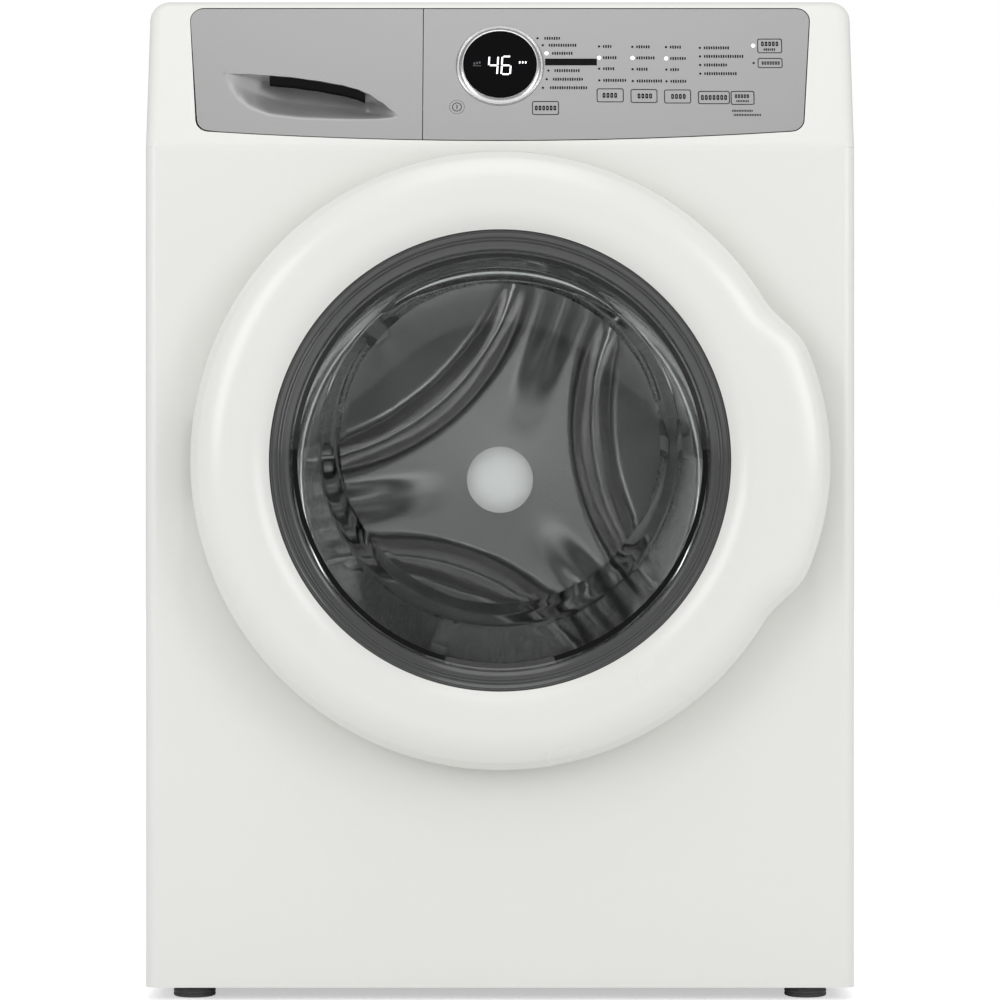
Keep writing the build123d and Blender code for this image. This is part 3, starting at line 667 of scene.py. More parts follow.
rearWall = {
    "radius": 273.0, "starY": 219.0, "rimY": 238.0, "arms": (70.0, 190.0, 310.0),
    "sideCentre": 364.0, "sideRadius": 280.0,      # star side edges are arcs round this centre
    "outerCentre": 438.0, "outerRadius": 303.0,    # outer edges of the troughs
    "starSlope": 0.03, "segmentSlope": 0.05,      # the star dishes inwards, the segments fall away
    "troughDepth": 27.0, "segmentDepth": 5.0, "edgeWidth": 26.0, "edgeGrow": 8.0,
    "valleyDepth": 9.0, "valleyHalf": 27.0, "hub": 37.0, "sheet": 1.2, "rings": 84,
    "hubCap": [(0.0, -4.2), (8.0, -4.05), (16.0, -3.5), (24.0, -2.5), (30.0, -1.4), (34.0, -0.6),
               (37.3, -0.1), (37.3, 1.6), (0.0, 1.6)],
}


def rearWallDepth(x, z):
    # How far the sheet lies behind the star's front, in millimetres
    p = rearWall
    r = math.hypot(x, z)
    depth = p["starSlope"] * (150 - max(r, 30.0))
    for arm in p["arms"]:
        between = math.radians(arm + 60)
        cx, cz = math.cos(between), math.sin(between)
        outward = x * cx + z * cz
        sideways = abs(x * cz - z * cx)
        if outward < 0:
            continue
        side = p["sideRadius"] - math.hypot(x - cx * p["sideCentre"], z - cz * p["sideCentre"])
        far = p["outerRadius"] - math.hypot(x - cx * p["outerCentre"], z - cz * p["outerCentre"])
        width = p["edgeWidth"] + p["edgeGrow"] * (sideways / 150) ** 2
        into = smoothStep(side, -2.0, width)
        out = smoothStep(far, -width * 0.9, 1.5)
        segment = p["segmentDepth"] + (p["segmentSlope"] + p["starSlope"]) * max(0.0, r - 125)
        depth += into * ((p["troughDepth"] + segment) * (1 - out) + segment * out)
    for arm in p["arms"]:
        a = math.radians(arm)
        alongArm = x * math.cos(a) + z * math.sin(a)
        across = abs(x * math.sin(a) - z * math.cos(a))
        if alongArm > 0:
            valley = 1 - smoothStep(across, 0.0, p["valleyHalf"])
            depth += p["valleyDepth"] * valley * smoothStep(alongArm, 50, 190)
    rim = smoothStep(r, 238, 264)
    return depth * (1 - rim) + (p["rimY"] - p["starY"]) * rim


def makeDrumRearWall():
    p = rearWall
    radii = [p["hub"] + (p["radius"] - p["hub"]) * i / p["rings"] for i in range(p["rings"] + 1)]
    bm = spinLoop([(r, p["starY"]) for r in radii], drumCentre, 240, closed=False)
    for v in bm.verts:
        x, z = (v.co.x - drumCentre.x) / mm, (v.co.z - drumCentre.z) / mm
        v.co.y = (p["starY"] + rearWallDepth(x, z)) * mm
    bmesh.ops.recalc_face_normals(bm, faces=bm.faces)
    if sum(f.normal.y for f in bm.faces) > 0:
        bmesh.ops.reverse_faces(bm, faces=bm.faces)
    bmesh.ops.solidify(bm, geom=bm.faces[:], thickness=p["sheet"] * mm)
    finishPiece("drumRearWall", bm, "stainlessWall", "drum", ["drum_rear_wall"], sharp=60)
    hubEdge = p["starY"] + p["starSlope"] * (150 - p["hub"])
    bm = spinLoop([(r, hubEdge + y) for r, y in p["hubCap"]], drumCentre, 96, closed=False)
    finishPiece("drumHubCap", bm, "polishedHub", "drum", sharp=60)


drumShell = {
    "wall": [  # radius and y, round the outside, then back along the inside
        (213.6, -246.4), (218.0, -246.0), (262.0, -244.6), (270.0, -243.4),
        (274.0, -239.5), (275.0, -234.0), (275.0, 250.0), (273.6, 250.0), (273.6, -233.6),
        (272.4, -238.4), (269.0, -241.6), (261.5, -243.1), (218.0, -244.4), (213.6, -244.8),
    ],
    "mouth": [
        (201.0, -247.5), (201.2, -250.5), (202.6, -254.0), (205.2, -256.6), (208.6, -257.4),
        (211.4, -255.8), (213.0, -252.4), (213.6, -247.0), (213.4, -244.6), (206.0, -244.4), (202.0, -245.2),
    ],
}


def makeDrumShell():
    bm = spinLoop(drumShell["wall"], drumCentre, 160)
    finishPiece("drumWall", bm, "drumSteel", "drum", ["drum_shell"], sharp=40)
    bm = spinLoop(drumShell["mouth"], drumCentre, 192)
    finishPiece("drumMouthRoll", bm, "rolledSteel", "drum", sharp=60)


makeDrumShell()
makeDrumRearWall()
print("drum made")


# The gasket joins the front panel to the tub
gasket = {
    "path": [  # radius, y, height of the centre above the door's centre
        (241.0, -348.4, 0.0), (236.0, -349.6, 0.0), (231.0, -349.0, 0.0), (225.0, -345.5, 0.0),
        (219.0, -338.5, -0.5), (214.8, -329.0, -1.5), (213.4, -319.0, -3.0), (215.0, -310.5, -5.0),
        (220.0, -305.6, -6.0), (227.5, -304.6, -7.0), (232.0, -301.5, -8.5), (231.6, -297.0, -10.0),
        (226.0, -294.5, -12.0), (221.2, -292.6, -14.0), (219.2, -290.4, -14.6), (220.6, -288.4, -15.0),
        (223.6, -287.0, -15.0), (224.4, -283.0, -15.0), (224.4, -277.0, -15.0),
    ],
    "wall": 2.2, "segments": 160,
    "frontBand": (238.6, -346.0, 1.5), "tubBand": (227.2, -281.0, 1.4),    # radius, y, wire
    "seal": [(304.2, -1.6), (306.0, -1.2), (306.8, 0.0), (306.0, 1.2), (304.2, 1.6)],
    "lugRing": 212.5, "lugY": -263.2, "lugDepth": 4.4,
    "lugs": [(123.5, 11.5), (55.0, 8.5)],          # angle and half width
    "nozzle": (-13.0, 12.5, -268.0, -257.5, 715.4, 723.0),
}


def makeGasket():
    p = gasket
    bm = bmesh.new()
    loops = [ringAt(bm, r, y, rise, p["segments"]) for r, y, rise in p["path"]]
    for first, second in zip(loops, loops[1:]):
        bmesh.ops.bridge_loops(bm, edges=first + second)
    bmesh.ops.recalc_face_normals(bm, faces=bm.faces)
    bmesh.ops.solidify(bm, geom=bm.faces[:], thickness=p["wall"] * mm)
    piece = finishPiece("gasketBellows", bm, "gasketRubber", None,
                        ["door_gasket"], sharp=50)
    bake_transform(piece)


def torusLoop(radius, y, wire, centre, steps=128, sides=8):
    profile = [(radius + wire * math.cos(math.tau * i / sides), y + wire * math.sin(math.tau * i / sides))
               for i in range(sides)]
    return spinLoop(profile, centre, steps)


def makeBands():
    p = gasket
    bm = torusLoop(*p["frontBand"], doorCentre)
    finishPiece("gasketFrontBand", bm, "zincSteel", "cabinet")
    bm = torusLoop(*p["tubBand"], drumCentre)
    finishPiece("gasketTubBand", bm, "zincSteel", "tub")
    bm = spinLoop(p["seal"], drumCentre, 128)
    finishPiece("tubSeal", bm, "hoseRubber", "tub")


def makeNeckLugs():
    # Moulded ribs and the spray nozzle at the top of the tub's mouth
    p = gasket
    x0, x1, y0, y1, z0, z1 = p["nozzle"]
    bm = bmesh.new()
    bmesh.ops.create_cube(bm, size=1.0)
    bmesh.ops.scale(bm, vec=((x1 - x0) * mm, (y1 - y0) * mm, (z1 - z0) * mm), verts=bm.verts)
    bmesh.ops.translate(bm, vec=((x0 + x1) / 2 * mm, (y0 + y1) / 2 * mm, (z0 + z1) / 2 * mm), verts=bm.verts)
    bevelEdges(bm, bm.edges[:], 1.8, 3)
    mouth = bmesh.ops.create_circle(bm, segments=20, radius=4.2 * mm, cap_ends=True,
                                    matrix=Matrix.Translation(((x0 + x1) / 2 * mm, -0.2626, z0 * mm - 1e-5)))
    lip = bmesh.ops.extrude_face_region(bm, geom=list({f for v in mouth["verts"] for f in v.link_faces}))
    bmesh.ops.translate(bm, vec=(0, 0, -1.6 * mm), verts=vertsOf(lip))
    finishPiece("sprayNozzle", bm, "gasketRubber", "tub", sharp=50)
    for index, (angle, half) in enumerate(p["lugs"]):
        a = math.radians(angle)
        centre = drumCentre + Vector((math.cos(a), 0, math.sin(a))) * p["lugRing"] * mm
        place = Matrix.Translation((centre.x, p["lugY"] * mm, centre.z)) @ Matrix.Rotation(math.radians(90), 4, "X")
        bm = bmesh.new()
        bmesh.ops.create_circle(bm, segments=32, radius=half * mm, cap_ends=True, matrix=place)
        grown = bmesh.ops.extrude_face_region(bm, geom=bm.faces[:])
        bmesh.ops.translate(bm, vec=(0, -p["lugDepth"] * mm, 0), verts=vertsOf(grown))
        bmesh.ops.recalc_face_normals(bm, faces=bm.faces)
        rims = [e for e in bm.edges if len(e.link_faces) == 2 and e.calc_face_angle(0) > 1.0]
        bevelEdges(bm, rims, 1.4, 3)
        finishPiece("neckLug" + "AB"[index], bm, "gasketRubber", "tub", sharp=50)


makeGasket()
makeBands()
makeNeckLugs()
print("gasket made")


console = {
    "side": 293.0, "flare": 303.0, "low": 18.1, "dip": 7.4, "top": 147.9, "corner": 12.5,
    "gap": 1.0, "splitX": -75.3, "plate": 2.6,
}


def lowEdge(x):
    # Height of the console's gently sagging bottom edge
    return console["dip"] + (console["low"] - console["dip"]) * (x / console["side"]) ** 2


scoop = {
    "leftX": -268.0, "rightX": -98.5, "depth": 22.0,
    "leftRun": 68.0, "rightRun": 34.0, "wallShare": 0.62,
    "lip": [(-268.0, 78.2), (-245.0, 77.8), (-226.0, 76.4), (-205.0, 74.6), (-180.0, 71.0), (-155.0, 66.3),
            (-140.0, 62.0), (-128.0, 56.8), (-115.0, 47.8), (-104.0, 38.2), (-98.5, 33.0)],
    "foot": [(-268.0, 70.0), (-262.0, 60.0), (-252.0, 47.0), (-240.0, 38.5), (-222.0, 32.5), (-190.0, 29.2),
             (-150.0, 28.2), (-120.0, 29.0), (-98.5, 31.0)],
    # start, end and height of the dark block of painted shade under the lip
    "slot": (-224.0, -131.0, 7.4),
}


def along(points, x):
    for (x0, v0), (x1, v1) in zip(points, points[1:]):
        if x0 <= x <= x1:
            t = (x - x0) / (x1 - x0)
            t = t * t * (3 - 2 * t) * 0.35 + t * 0.65
            return v0 + (v1 - v0) * t
    return points[0][1] if x < points[0][0] else points[-1][1]


def scoopDepth(x, v):
    p = scoop
    lip, foot = along(p["lip"], x), along(p["foot"], x)
    if not p["leftX"] < x < p["rightX"] or v > lip or lip - foot < 0.5:
        return 0.0
    inLeft = smoothStep(x, p["leftX"], p["leftX"] + p["leftRun"])
    inRight = smoothStep(p["rightX"] - x, 0, p["rightRun"])
    wall = smoothStep(v, foot, foot + p["wallShare"] * (lip - foot))
    return p["depth"] * inLeft * inRight * wall


def consoleCorner(cx, cv, radius, start, count=7):
    return [(cx + radius * math.cos(math.radians(start + 90 * i / count)),
             cv + radius * math.sin(math.radians(start + 90 * i / count))) for i in range(count + 1)]


def makeDrawerFront():
    p, k = scoop, console
    columns, rowsLow, rowsHigh = 190, 64, 18
    x0, x1 = -306.0, k["splitX"]
    bm = bmesh.new()
    rows = rowsLow + 1 + rowsHigh
    bmesh.ops.create_grid(bm, x_segments=columns, y_segments=rows, size=0.5)
    for v in bm.verts:
        column = round((v.co.x + 0.5) * columns)
        row = round((v.co.y + 0.5) * rows)
        x = x0 + (x1 - x0) * column / columns
        lip = along(p["lip"], x)
        if row <= rowsLow:
            height = lowEdge(x) + (lip - lowEdge(x)) * row / rowsLow
            depth = scoopDepth(x, height)
        elif row == rowsLow + 1:
            height, depth = lip + 0.02, 0.0
        else:
            height = lip + (k["top"] - lip) * (row - rowsLow - 1) / rowsHigh
            depth = 0.0
        v.co = (x, height, -depth)
    left = [(-k["flare"] + (k["flare"] - k["side"]) * (k["top"] - v) / (k["top"] - k["low"]), v)
            for v in (k["top"], k["low"])]
    outline = consoleCorner(left[0][0] + k["corner"] + 0.6, k["top"] - k["corner"], k["corner"], 90)
    outline += consoleCorner(left[1][0] + k["corner"] - 0.4, k["low"] + k["corner"] - 0.5, k["corner"], 180)
    for (ax, av), (bx, bv) in zip(outline, outline[1:]):
        bmesh.ops.bisect_plane(
            bm, geom=bm.verts[:] + bm.edges[:] + bm.faces[:], dist=1e-7,
            plane_co=(ax, av, 0), plane_no=(bv - av, ax - bx, 0), clear_outer=True,
        )
    bmesh.ops.recalc_face_normals(bm, faces=bm.faces)
    if sum(f.normal.z for f in bm.faces) < 0:
        bmesh.ops.reverse_faces(bm, faces=bm.faces)
    bmesh.ops.solidify(bm, geom=bm.faces[:], thickness=k["plate"])
    placeOnLean(bm)
    finishPiece("drawerFacePlate", bm, "silverFace", "drawer", ["drawer_front"], sharp=32)


def makeDrawerSlot():
    # A near-black block under the recess's lip: painted shade standing in for the shadow deep in the finger gap
    p = scoop
    s0, s1, tall = p["slot"]
    bm = bmesh.new()
    bmesh.ops.create_grid(bm, x_segments=40, y_segments=1, size=0.5)
    for v in bm.verts:
        x = s0 + (s1 - s0) * (v.co.x + 0.5)
        lip = along(p["lip"], x)
        low = v.co.y < 0
        v.co = (x, lip - 0.35 - (tall if low else 0), -1.2 if not low else -2.6)
    grown = bmesh.ops.extrude_face_region(bm, geom=bm.faces[:])
    bmesh.ops.translate(bm, vec=(0, 0, -6.0), verts=vertsOf(grown))
    placeOnLean(bm)
    finishPiece("drawerFingerSlot", bm, "slotDark", "drawer", sharp=30)


def makeDrawerCarrier():
    # White plastic behind the face plate, which the tray hangs from
    bm = bmesh.new()
    low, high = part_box("drawer_tray")
    front = leanOrigin.y / mm + 34.0
    bmesh.ops.create_cube(bm, size=1.0)
    size = Vector((high.x - low.x, 0.0, high.z - low.z + 0.004))
    size.y = low.y - 0.0003 - (front + 14.0) * mm
    bmesh.ops.scale(bm, vec=size, verts=bm.verts)
    bmesh.ops.translate(bm, vec=((low.x + high.x) / 2, low.y - 0.0003 - size.y / 2, (low.z + high.z) / 2),
                        verts=bm.verts)
    bevelEdges(bm, bm.edges[:], 2.0, 2)
    finishPiece("drawerCarrier", bm, "innerPlastic", "drawer", sharp=40)


displayRing = {
    "profile": [(42.6, -3.0), (42.6, 0.5), (42.3, 1.0), (41.7, 1.2), (41.2, 0.9), (40.9, 0.3), (40.5, 0.3),
                (40.1, 0.9), (38.6, 1.9), (36.6, 2.8), (36.1, 2.8), (35.8, 2.4), (35.7, 1.4), (35.7, -3.0)],
    "v": 86.8,
}


def makeDisplayRing():
    p = displayRing
    bm = bmesh.new()
    verts = [bm.verts.new((r, 0, z)) for r, z in p["profile"]]
    edges = [bm.edges.new(pair) for pair in zip(verts, verts[1:] + verts[:1])]
    bmesh.ops.spin(bm, geom=verts + edges, cent=(0, 0, 0), axis=(0, 0, 1), angle=math.tau, steps=128,
                   use_merge=True)
    bmesh.ops.remove_doubles(bm, verts=bm.verts, dist=1e-4)
    placeOnLean(bm, 0, p["v"])
    finishPiece("displayRing", bm, "bezelMetal", "cabinet", ["display_bezel"], sharp=40)


def makeConsoleFrame():
    # The surround keeps its shape, and its lower edge is drawn down to meet the front panel
    bm = bmesh.new()
    bm.from_mesh(nodes["console_frame"].data)
    bmesh.ops.remove_doubles(bm, verts=bm.verts, dist=2e-5)
    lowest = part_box("console_frame")[0].z
    for v in bm.verts:
        if v.co.z < lowest + 2e-4:
            v.co.z = panelHigh.z + 5e-6
    addPiece("consoleSurround", bm, "whiteEnamel", "cabinet", ["console_frame"], 38)


marks = {
    "raise": 0.12,
    "dotRadius": 1.15, "litRadius": 1.9,
    "cycles": [(36.6, 116.1, 6.2, 17), (41.7, 108.6, 5.4, 28), (45.3, 99.9, 5.0, 20), (47.1, 81.4, 5.4, 25),
               (45.4, 72.1, 5.6, 30), (41.7, 63.0, 6.4, 36)],
    "cyclesLit": 2,
    "bar": (69.1, 90.6, 50.5, 7.2),
    "columns": [  # x, dot heights, lit row, label widths
        (96.5, (107.3, 95.2, 83.4, 70.9), 1, (9, 13, 12, 22)),
        (129.0, (106.9, 95.0, 82.8, 70.2), 1, (14, 18, 12, 26)),
        (161.8, (106.6, 94.4, 82.4, 69.9), 1, (11, 17, 9, 17)),
    ],
    "options": (194.8, (105.8, 96.6, 87.4, 78.1), (26, 40, 23, 32)),
    "startDot": (246.9, 108.2), "cancelDot": (246.9, 89.5),
    "note": [(224.5, 38.4, 20), (226.0, 34.0, 27)],
    "power": (-41.7, 42.5),
}


def addBar(bm, x, v, width, height, z0=0.0, z1=None):
    z1 = marks["raise"] if z1 is None else z1
    place = Matrix.Translation((x, v, (z0 + z1) / 2)) @ Matrix.Diagonal((width, height, z1 - z0, 1))
    bmesh.ops.create_cube(bm, size=1.0, matrix=place)


def addDot(bm, x, v, radius):
    made = bmesh.ops.create_circle(bm, segments=20, radius=radius, cap_ends=True,
                                   matrix=Matrix.Translation((x, v, 0)))
    faces = list({f for vert in made["verts"] for f in vert.link_faces})
    grown = bmesh.ops.extrude_face_region(bm, geom=faces)
    bmesh.ops.translate(bm, vec=(0, 0, marks["raise"]), verts=vertsOf(grown))


def addWord(bm, x, v, width, height=3.2, hollow=False):
    # A plain row of short blocks stands in for a label
    step = height * 0.72
    count = max(1, round(width / step))
    for i in range(count):
        centre = x + step * (i + 0.5)
        if hollow:
            wide = step * 0.72
            stroke = height * 0.27
            place = Matrix.Translation((centre, v, 0))
            before = set(bm.verts)
            flatRing(bm, roundedLoop(wide, height, wide * 0.3, 2),
                     roundedLoop(wide - stroke * 1.5, height - stroke * 2, (wide - stroke * 1.5) * 0.3, 2),
                     0.0, marks["raise"])
            bmesh.ops.transform(bm, matrix=place, verts=[n for n in bm.verts if n not in before])
        else:
            addBar(bm, centre, v, step * 0.62, height * (1.0 if i % 3 else 0.82))


def makeMarks():
    p = marks
    ink, lit = bmesh.new(), bmesh.new()
    for row, (x, v, gap, width) in enumerate(p["cycles"]):
        if row == p["cyclesLit"]:
            addDot(lit, x, v, p["litRadius"])
        else:
            addDot(ink, x, v, p["dotRadius"])
        addWord(ink, x + gap, v, width)
    x, v, width, height = p["bar"]
    addBar(ink, x, v, width, height)
    for x, heights, litRow, widths in p["columns"]:
        for row, (v, width) in enumerate(zip(heights, widths)):
            addDot(lit if row == litRow else ink, x, v, p["litRadius"] if row == litRow else p["dotRadius"])
            addWord(ink, x + 3.4, v, width)
    x, heights, widths = p["options"]
    for v, width in zip(heights, widths):
        addDot(ink, x, v, p["dotRadius"])
        addWord(ink, x + 3.4, v, width)
    addDot(lit, *p["startDot"], p["litRadius"])
    addDot(ink, *p["cancelDot"], p["dotRadius"])
    for x, v, width in p["note"]:
        addWord(ink, x, v, width, 2.2)
    for name, bm, finish, slot in (("consoleMarks", ink, "inkDark", "dark_plastic"),
                                   ("consoleLights", lit, "litMark", "black_lens")):
        bmesh.ops.translate(bm, vec=(0, 0, 0.02), verts=bm.verts)
        placeOnLean(bm)
        finishPiece(name, bm, finish, "cabinet", sharp=30)


keyMarks = {
    # x, v, width and height of each key, then the rows of its label: offset, width, letter height
    "cycles_key": (44.1, 41.4, 25.4, 14.2, [(0, 21.5, 5.0)]),
    "temp_key": (106.9, 54.9, 25.6, 14.2, [(0, 15.6, 5.2)]),
    "soil_key": (139.7, 54.2, 25.4, 14.2, [(0, 13.4, 5.2)]),
    "spin_key": (172.3, 53.7, 25.6, 14.2, [(0, 13.4, 5.2)]),
    "options_key": (207.5, 52.6, 30.2, 13.4, [(0, 26.0, 5.2)]),
    "select_key": (235.3, 52.2, 22.4, 14.2, [(1.8, 15.6, 4.0), (-3.4, 13.0, 2.2)]),
    "start_key": (262.9, 107.9, 23.6, 15.0, [(2.2, 17.5, 4.9), (-3.9, 12.6, 2.7)]),
    "cancel_key": (262.9, 89.5, 23.6, 10.2, [(0, 17.0, 3.6)]),
}


def makeKeyMarks():
    for body, (x, v, width, height, rows) in keyMarks.items():
        bm = bmesh.new()
        flatRing(bm, roundedLoop(width - 0.1, height - 0.1, 1.9), roundedLoop(width - 1.1, height - 1.1, 1.5),
                 0.01, marks["raise"])
        for offset, wide, tall in rows:
            addWord(bm, -wide / 2, offset, wide, tall, hollow=tall > 3.5)
        placeOnLean(bm, x, v, 0.02)
        finishPiece(body.replace("_key", "KeyLabel"), bm, "inkDark", body, sharp=30)
    x, v = marks["power"]
    bm = bmesh.new()
    flatRing(bm, roundedLoop(9.4, 9.4, 4.69, 8), roundedLoop(8.0, 8.0, 3.99, 8), 0.01, marks["raise"])
    addBar(bm, 0, 0, 0.9, 4.4)
    placeOnLean(bm, x, v, 0.02)
    finishPiece("powerKeyIcon", bm, "inkDark", "power_key", sharp=30)


digits = {
    "segments": {"4": "bcfg", "6": "acdefg"},
    "shown": [("4", -6.6), ("6", 6.1)], "height": 19.0, "width": 8.6, "stroke": 1.9, "lift": 1.62,
    "v": 86.2, "slant": 0.06, "gap": 0.4,
}


def makeDigits():
    p = digits
    w, h, s = p["width"], p["height"], p["stroke"]
    places = {
        "a": (0, h / 2, w - s, s), "g": (0, 0, w - s, s), "d": (0, -h / 2, w - s, s),
        "f": (-w / 2, h / 4, s, h / 2 - s * 0.3), "b": (w / 2, h / 4, s, h / 2 - s * 0.3),
        "e": (-w / 2, -h / 4, s, h / 2 - s * 0.3), "c": (w / 2, -h / 4, s, h / 2 - s * 0.3),
    }
    bm = bmesh.new()
    for digit, offset in p["shown"]:
        for segment in p["segments"][digit]:
            x, v, width, height = places[segment]
            addBar(bm, offset + x, v, width - p["gap"], height - p["gap"])
    for i in range(3):
        addBar(bm, 19.0 + i * 2.9, 3.2, 1.3, 2.2)
    for v in bm.verts:
        v.co.x += v.co.y * p["slant"]
    placeOnLean(bm, 0, p["v"], p["lift"])
    finishPiece("displayDigits", bm, "litMark", "cabinet", sharp=30)
    bm = bmesh.new()
    for i in range(3):
        addBar(bm, -25.0 + i * 2.6, 2.0 + 0.5 * i, 1.5, 2.4, 0.0, 0.1)
    addBar(bm, -22.4, -0.4, 8.0, 0.7, 0.0, 0.1)
    placeOnLean(bm, 0, p["v"], p["lift"])
    finishPiece("displayFaintIcon", bm, "greyMark", "cabinet", sharp=30)


makeDrawerFront()
makeDrawerSlot()
makeDrawerCarrier()
makeDisplayRing()
makeConsoleFrame()
makeMarks()
makeKeyMarks()
makeDigits()
print("console made")


springs = {"coilRadius": 9.4, "wire": 1.6, "turns": 22, "top": 874.0, "bottom": 697.0}


def makeSprings():
    p = springs
    low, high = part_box("suspension_springs")
    bm = bmesh.new()
    x, ys = high.x - 0.011, (low.y + 0.011, high.y - 0.011)
    for sx in (-x, x):
        for y in ys:
            place = Matrix.Translation((sx + p["coilRadius"] * mm, y, p["bottom"] * mm))
            place = place @ Matrix.Rotation(math.radians(90), 4, "X")
            ring = bmesh.ops.create_circle(bm, segments=8, radius=p["wire"] * mm, matrix=place)["verts"]
            edges = list({e for v in ring for e in v.link_edges})
            steps = p["turns"] * 20
            bmesh.ops.spin(bm, geom=ring + edges, cent=(sx, y, p["bottom"] * mm), axis=(0, 0, 1),
                           angle=math.tau * p["turns"], steps=steps,
                           dvec=(0, 0, (p["top"] - p["bottom"]) * mm / steps))
            for z0, z1 in ((p["top"], 883.0), (689.0, p["bottom"])):
                hook = Matrix.Translation((sx, y, (z0 + z1) / 2 * mm))
                bmesh.ops.create_cone(bm, cap_ends=True, segments=12, radius1=3.2 * mm, radius2=3.2 * mm,
                                      depth=(z1 - z0) * mm, matrix=hook)
                plate = Matrix.Translation((sx, y, (z0 if z0 > 800 else z1) * mm))
                bmesh.ops.create_cone(bm, cap_ends=True, segments=20, radius1=10.6 * mm, radius2=10.6 * mm,
                                      depth=2.4 * mm, matrix=plate)
    bmesh.ops.holes_fill(bm, edges=bm.edges[:], sides=8)
    piece = finishPiece("suspensionCoils", bm, "zincSteel", None,
                        ["suspension_springs"], sharp=50)
    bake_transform(piece)


def bellows(name, node, outer, pitch, tubSide):
    # A corrugated hose whose one end is cut to the tub's round wall
    low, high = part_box(node)
    cx, cy = (low.x + high.x) / 2, (low.y + high.y) / 2
    tubRadius = 0.2966
    clear = math.sqrt(tubRadius ** 2 - (abs(cx) - outer * mm) ** 2) + 0.004
    z0, z1 = (drumCentre.z + clear, high.z) if tubSide > 0 else (low.z, drumCentre.z - clear)
    count = max(3, round((z1 - z0) / (pitch * mm)))
    path = []
    for i in range(count * 4 + 1):
        z = z0 + (z1 - z0) * i / (count * 4)
        path.append((outer - 3.2 * (0.5 + 0.5 * math.cos(math.tau * i / 4)), z))
    bm = bmesh.new()
    verts = [bm.verts.new((cx + r * mm, cy, z)) for r, z in path]
    edges = [bm.edges.new(pair) for pair in zip(verts, verts[1:])]
    bmesh.ops.spin(bm, geom=verts + edges, cent=(cx, cy, 0), axis=(0, 0, 1), angle=math.tau, steps=48,
                   use_merge=True)
    bmesh.ops.remove_doubles(bm, verts=bm.verts, dist=1e-6)
    ends = [v for v in bm.verts if abs(v.co.z - (z0 if tubSide > 0 else z1)) < 1e-6]
    rim = [e for e in bm.edges if e.is_boundary and all(v in ends for v in e.verts)]
    skirt = bmesh.ops.extrude_edge_only(bm, edges=rim)
    for v in vertsOf(skirt):
        v.co.z = drumCentre.z + tubSide * math.sqrt(tubRadius ** 2 - v.co.x ** 2)
    bmesh.ops.recalc_face_normals(bm, faces=bm.faces)
    bmesh.ops.solidify(bm, geom=bm.faces[:], thickness=1.4 * mm)
    piece = finishPiece(name, bm, "hoseRubber", None, [node], sharp=50)
    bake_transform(piece)


def makeBellows():
    bellows("dispenserBellows", "dispenser_hose", 23.6, 9.0, 1)
    bellows("sumpBellows", "sump_hose", 25.6, 9.0, -1)


foot = {
    "pad": [(0.0, 0.0), (18.6, 0.0), (20.0, 0.6), (20.5, 2.0), (20.5, 3.0), (19.6, 3.4), (19.6, 4.2),
            (20.5, 4.6), (20.5, 6.2), (19.6, 6.6), (19.6, 7.2), (20.2, 7.6), (19.4, 9.2), (17.6, 10.0),
            (0.0, 10.0)],
    "nut": (13.6, 10.0, 13.4), "stud": 6.0, "studTop": 58.0, "pitch": 2.0,
}


def spinUp(profile, cx, cy, steps=48):
    bm = bmesh.new()
    verts = [bm.verts.new((cx + r * mm, cy, z * mm)) for r, z in profile]
    edges = [bm.edges.new(pair) for pair in zip(verts, verts[1:])]
    bmesh.ops.spin(bm, geom=verts + edges, cent=(cx, cy, 0), axis=(0, 0, 1), angle=math.tau, steps=steps,
                   use_merge=True)
    bmesh.ops.remove_doubles(bm, verts=bm.verts, dist=1e-6)
    return bm


def makeFeet():
    p = foot
    for node in [name for name in nodes if name.startswith("foot_")]:
        centre = centreOf(node)
        title = "".join(word.capitalize() for word in node.split("_")[1:])
        bm = spinUp(p["pad"], centre.x, centre.y)
        finishPiece("footPad" + title, bm, "footRubber", node, [node], sharp=40)
        radius, z0, z1 = p["nut"]
        thread = [(0.0, z0)]
        z = z1 + 0.2
        while z < p["studTop"] - 1:
            thread += [(p["stud"] - 0.9, z), (p["stud"], z + p["pitch"] / 2)]
            z += p["pitch"]
        thread += [(p["stud"] - 1.2, p["studTop"]), (0.0, p["studTop"])]
        bm = spinUp(thread, centre.x, centre.y, 24)
        place = Matrix.Translation((centre.x, centre.y, (z0 + z1) / 2 * mm))
        bmesh.ops.create_cone(bm, cap_ends=True, segments=6, radius1=radius * mm, radius2=radius * mm,
                              depth=(z1 - z0) * mm, matrix=place)
        finishPiece("footStud" + title, bm, "zincSteel", node, sharp=30)


siphon = {"centre": (-123.0, -92.0), "length": 38.0, "width": 26.0, "base": 879.2, "top": 904.0}


def makeSiphonCap():
    p = siphon
    bm = bmesh.new()
    loopEdges(bm, roundedLoop(p["length"], p["width"], 6.0))
    bmesh.ops.contextual_create(bm, geom=bm.edges[:])
    grown = bmesh.ops.extrude_face_region(bm, geom=bm.faces[:])
    bmesh.ops.translate(bm, vec=(0, 0, p["top"] - p["base"]), verts=vertsOf(grown))
    face = [g for g in grown["geom"] if isinstance(g, bmesh.types.BMFace)]
    bmesh.ops.inset_region(bm, faces=face, thickness=4.0, depth=-1.6)
    bmesh.ops.recalc_face_normals(bm, faces=bm.faces)
    bmesh.ops.scale(bm, vec=(mm, mm, mm), verts=bm.verts)
    bmesh.ops.translate(bm, vec=(p["centre"][0] * mm, p["centre"][1] * mm, p["base"] * mm), verts=bm.verts)
    finishPiece("siphonCap", bm, "capBlue", "drawer", sharp=35)


makeSprings()
makeBellows()
makeFeet()
makeSiphonCap()
print("running gear made")


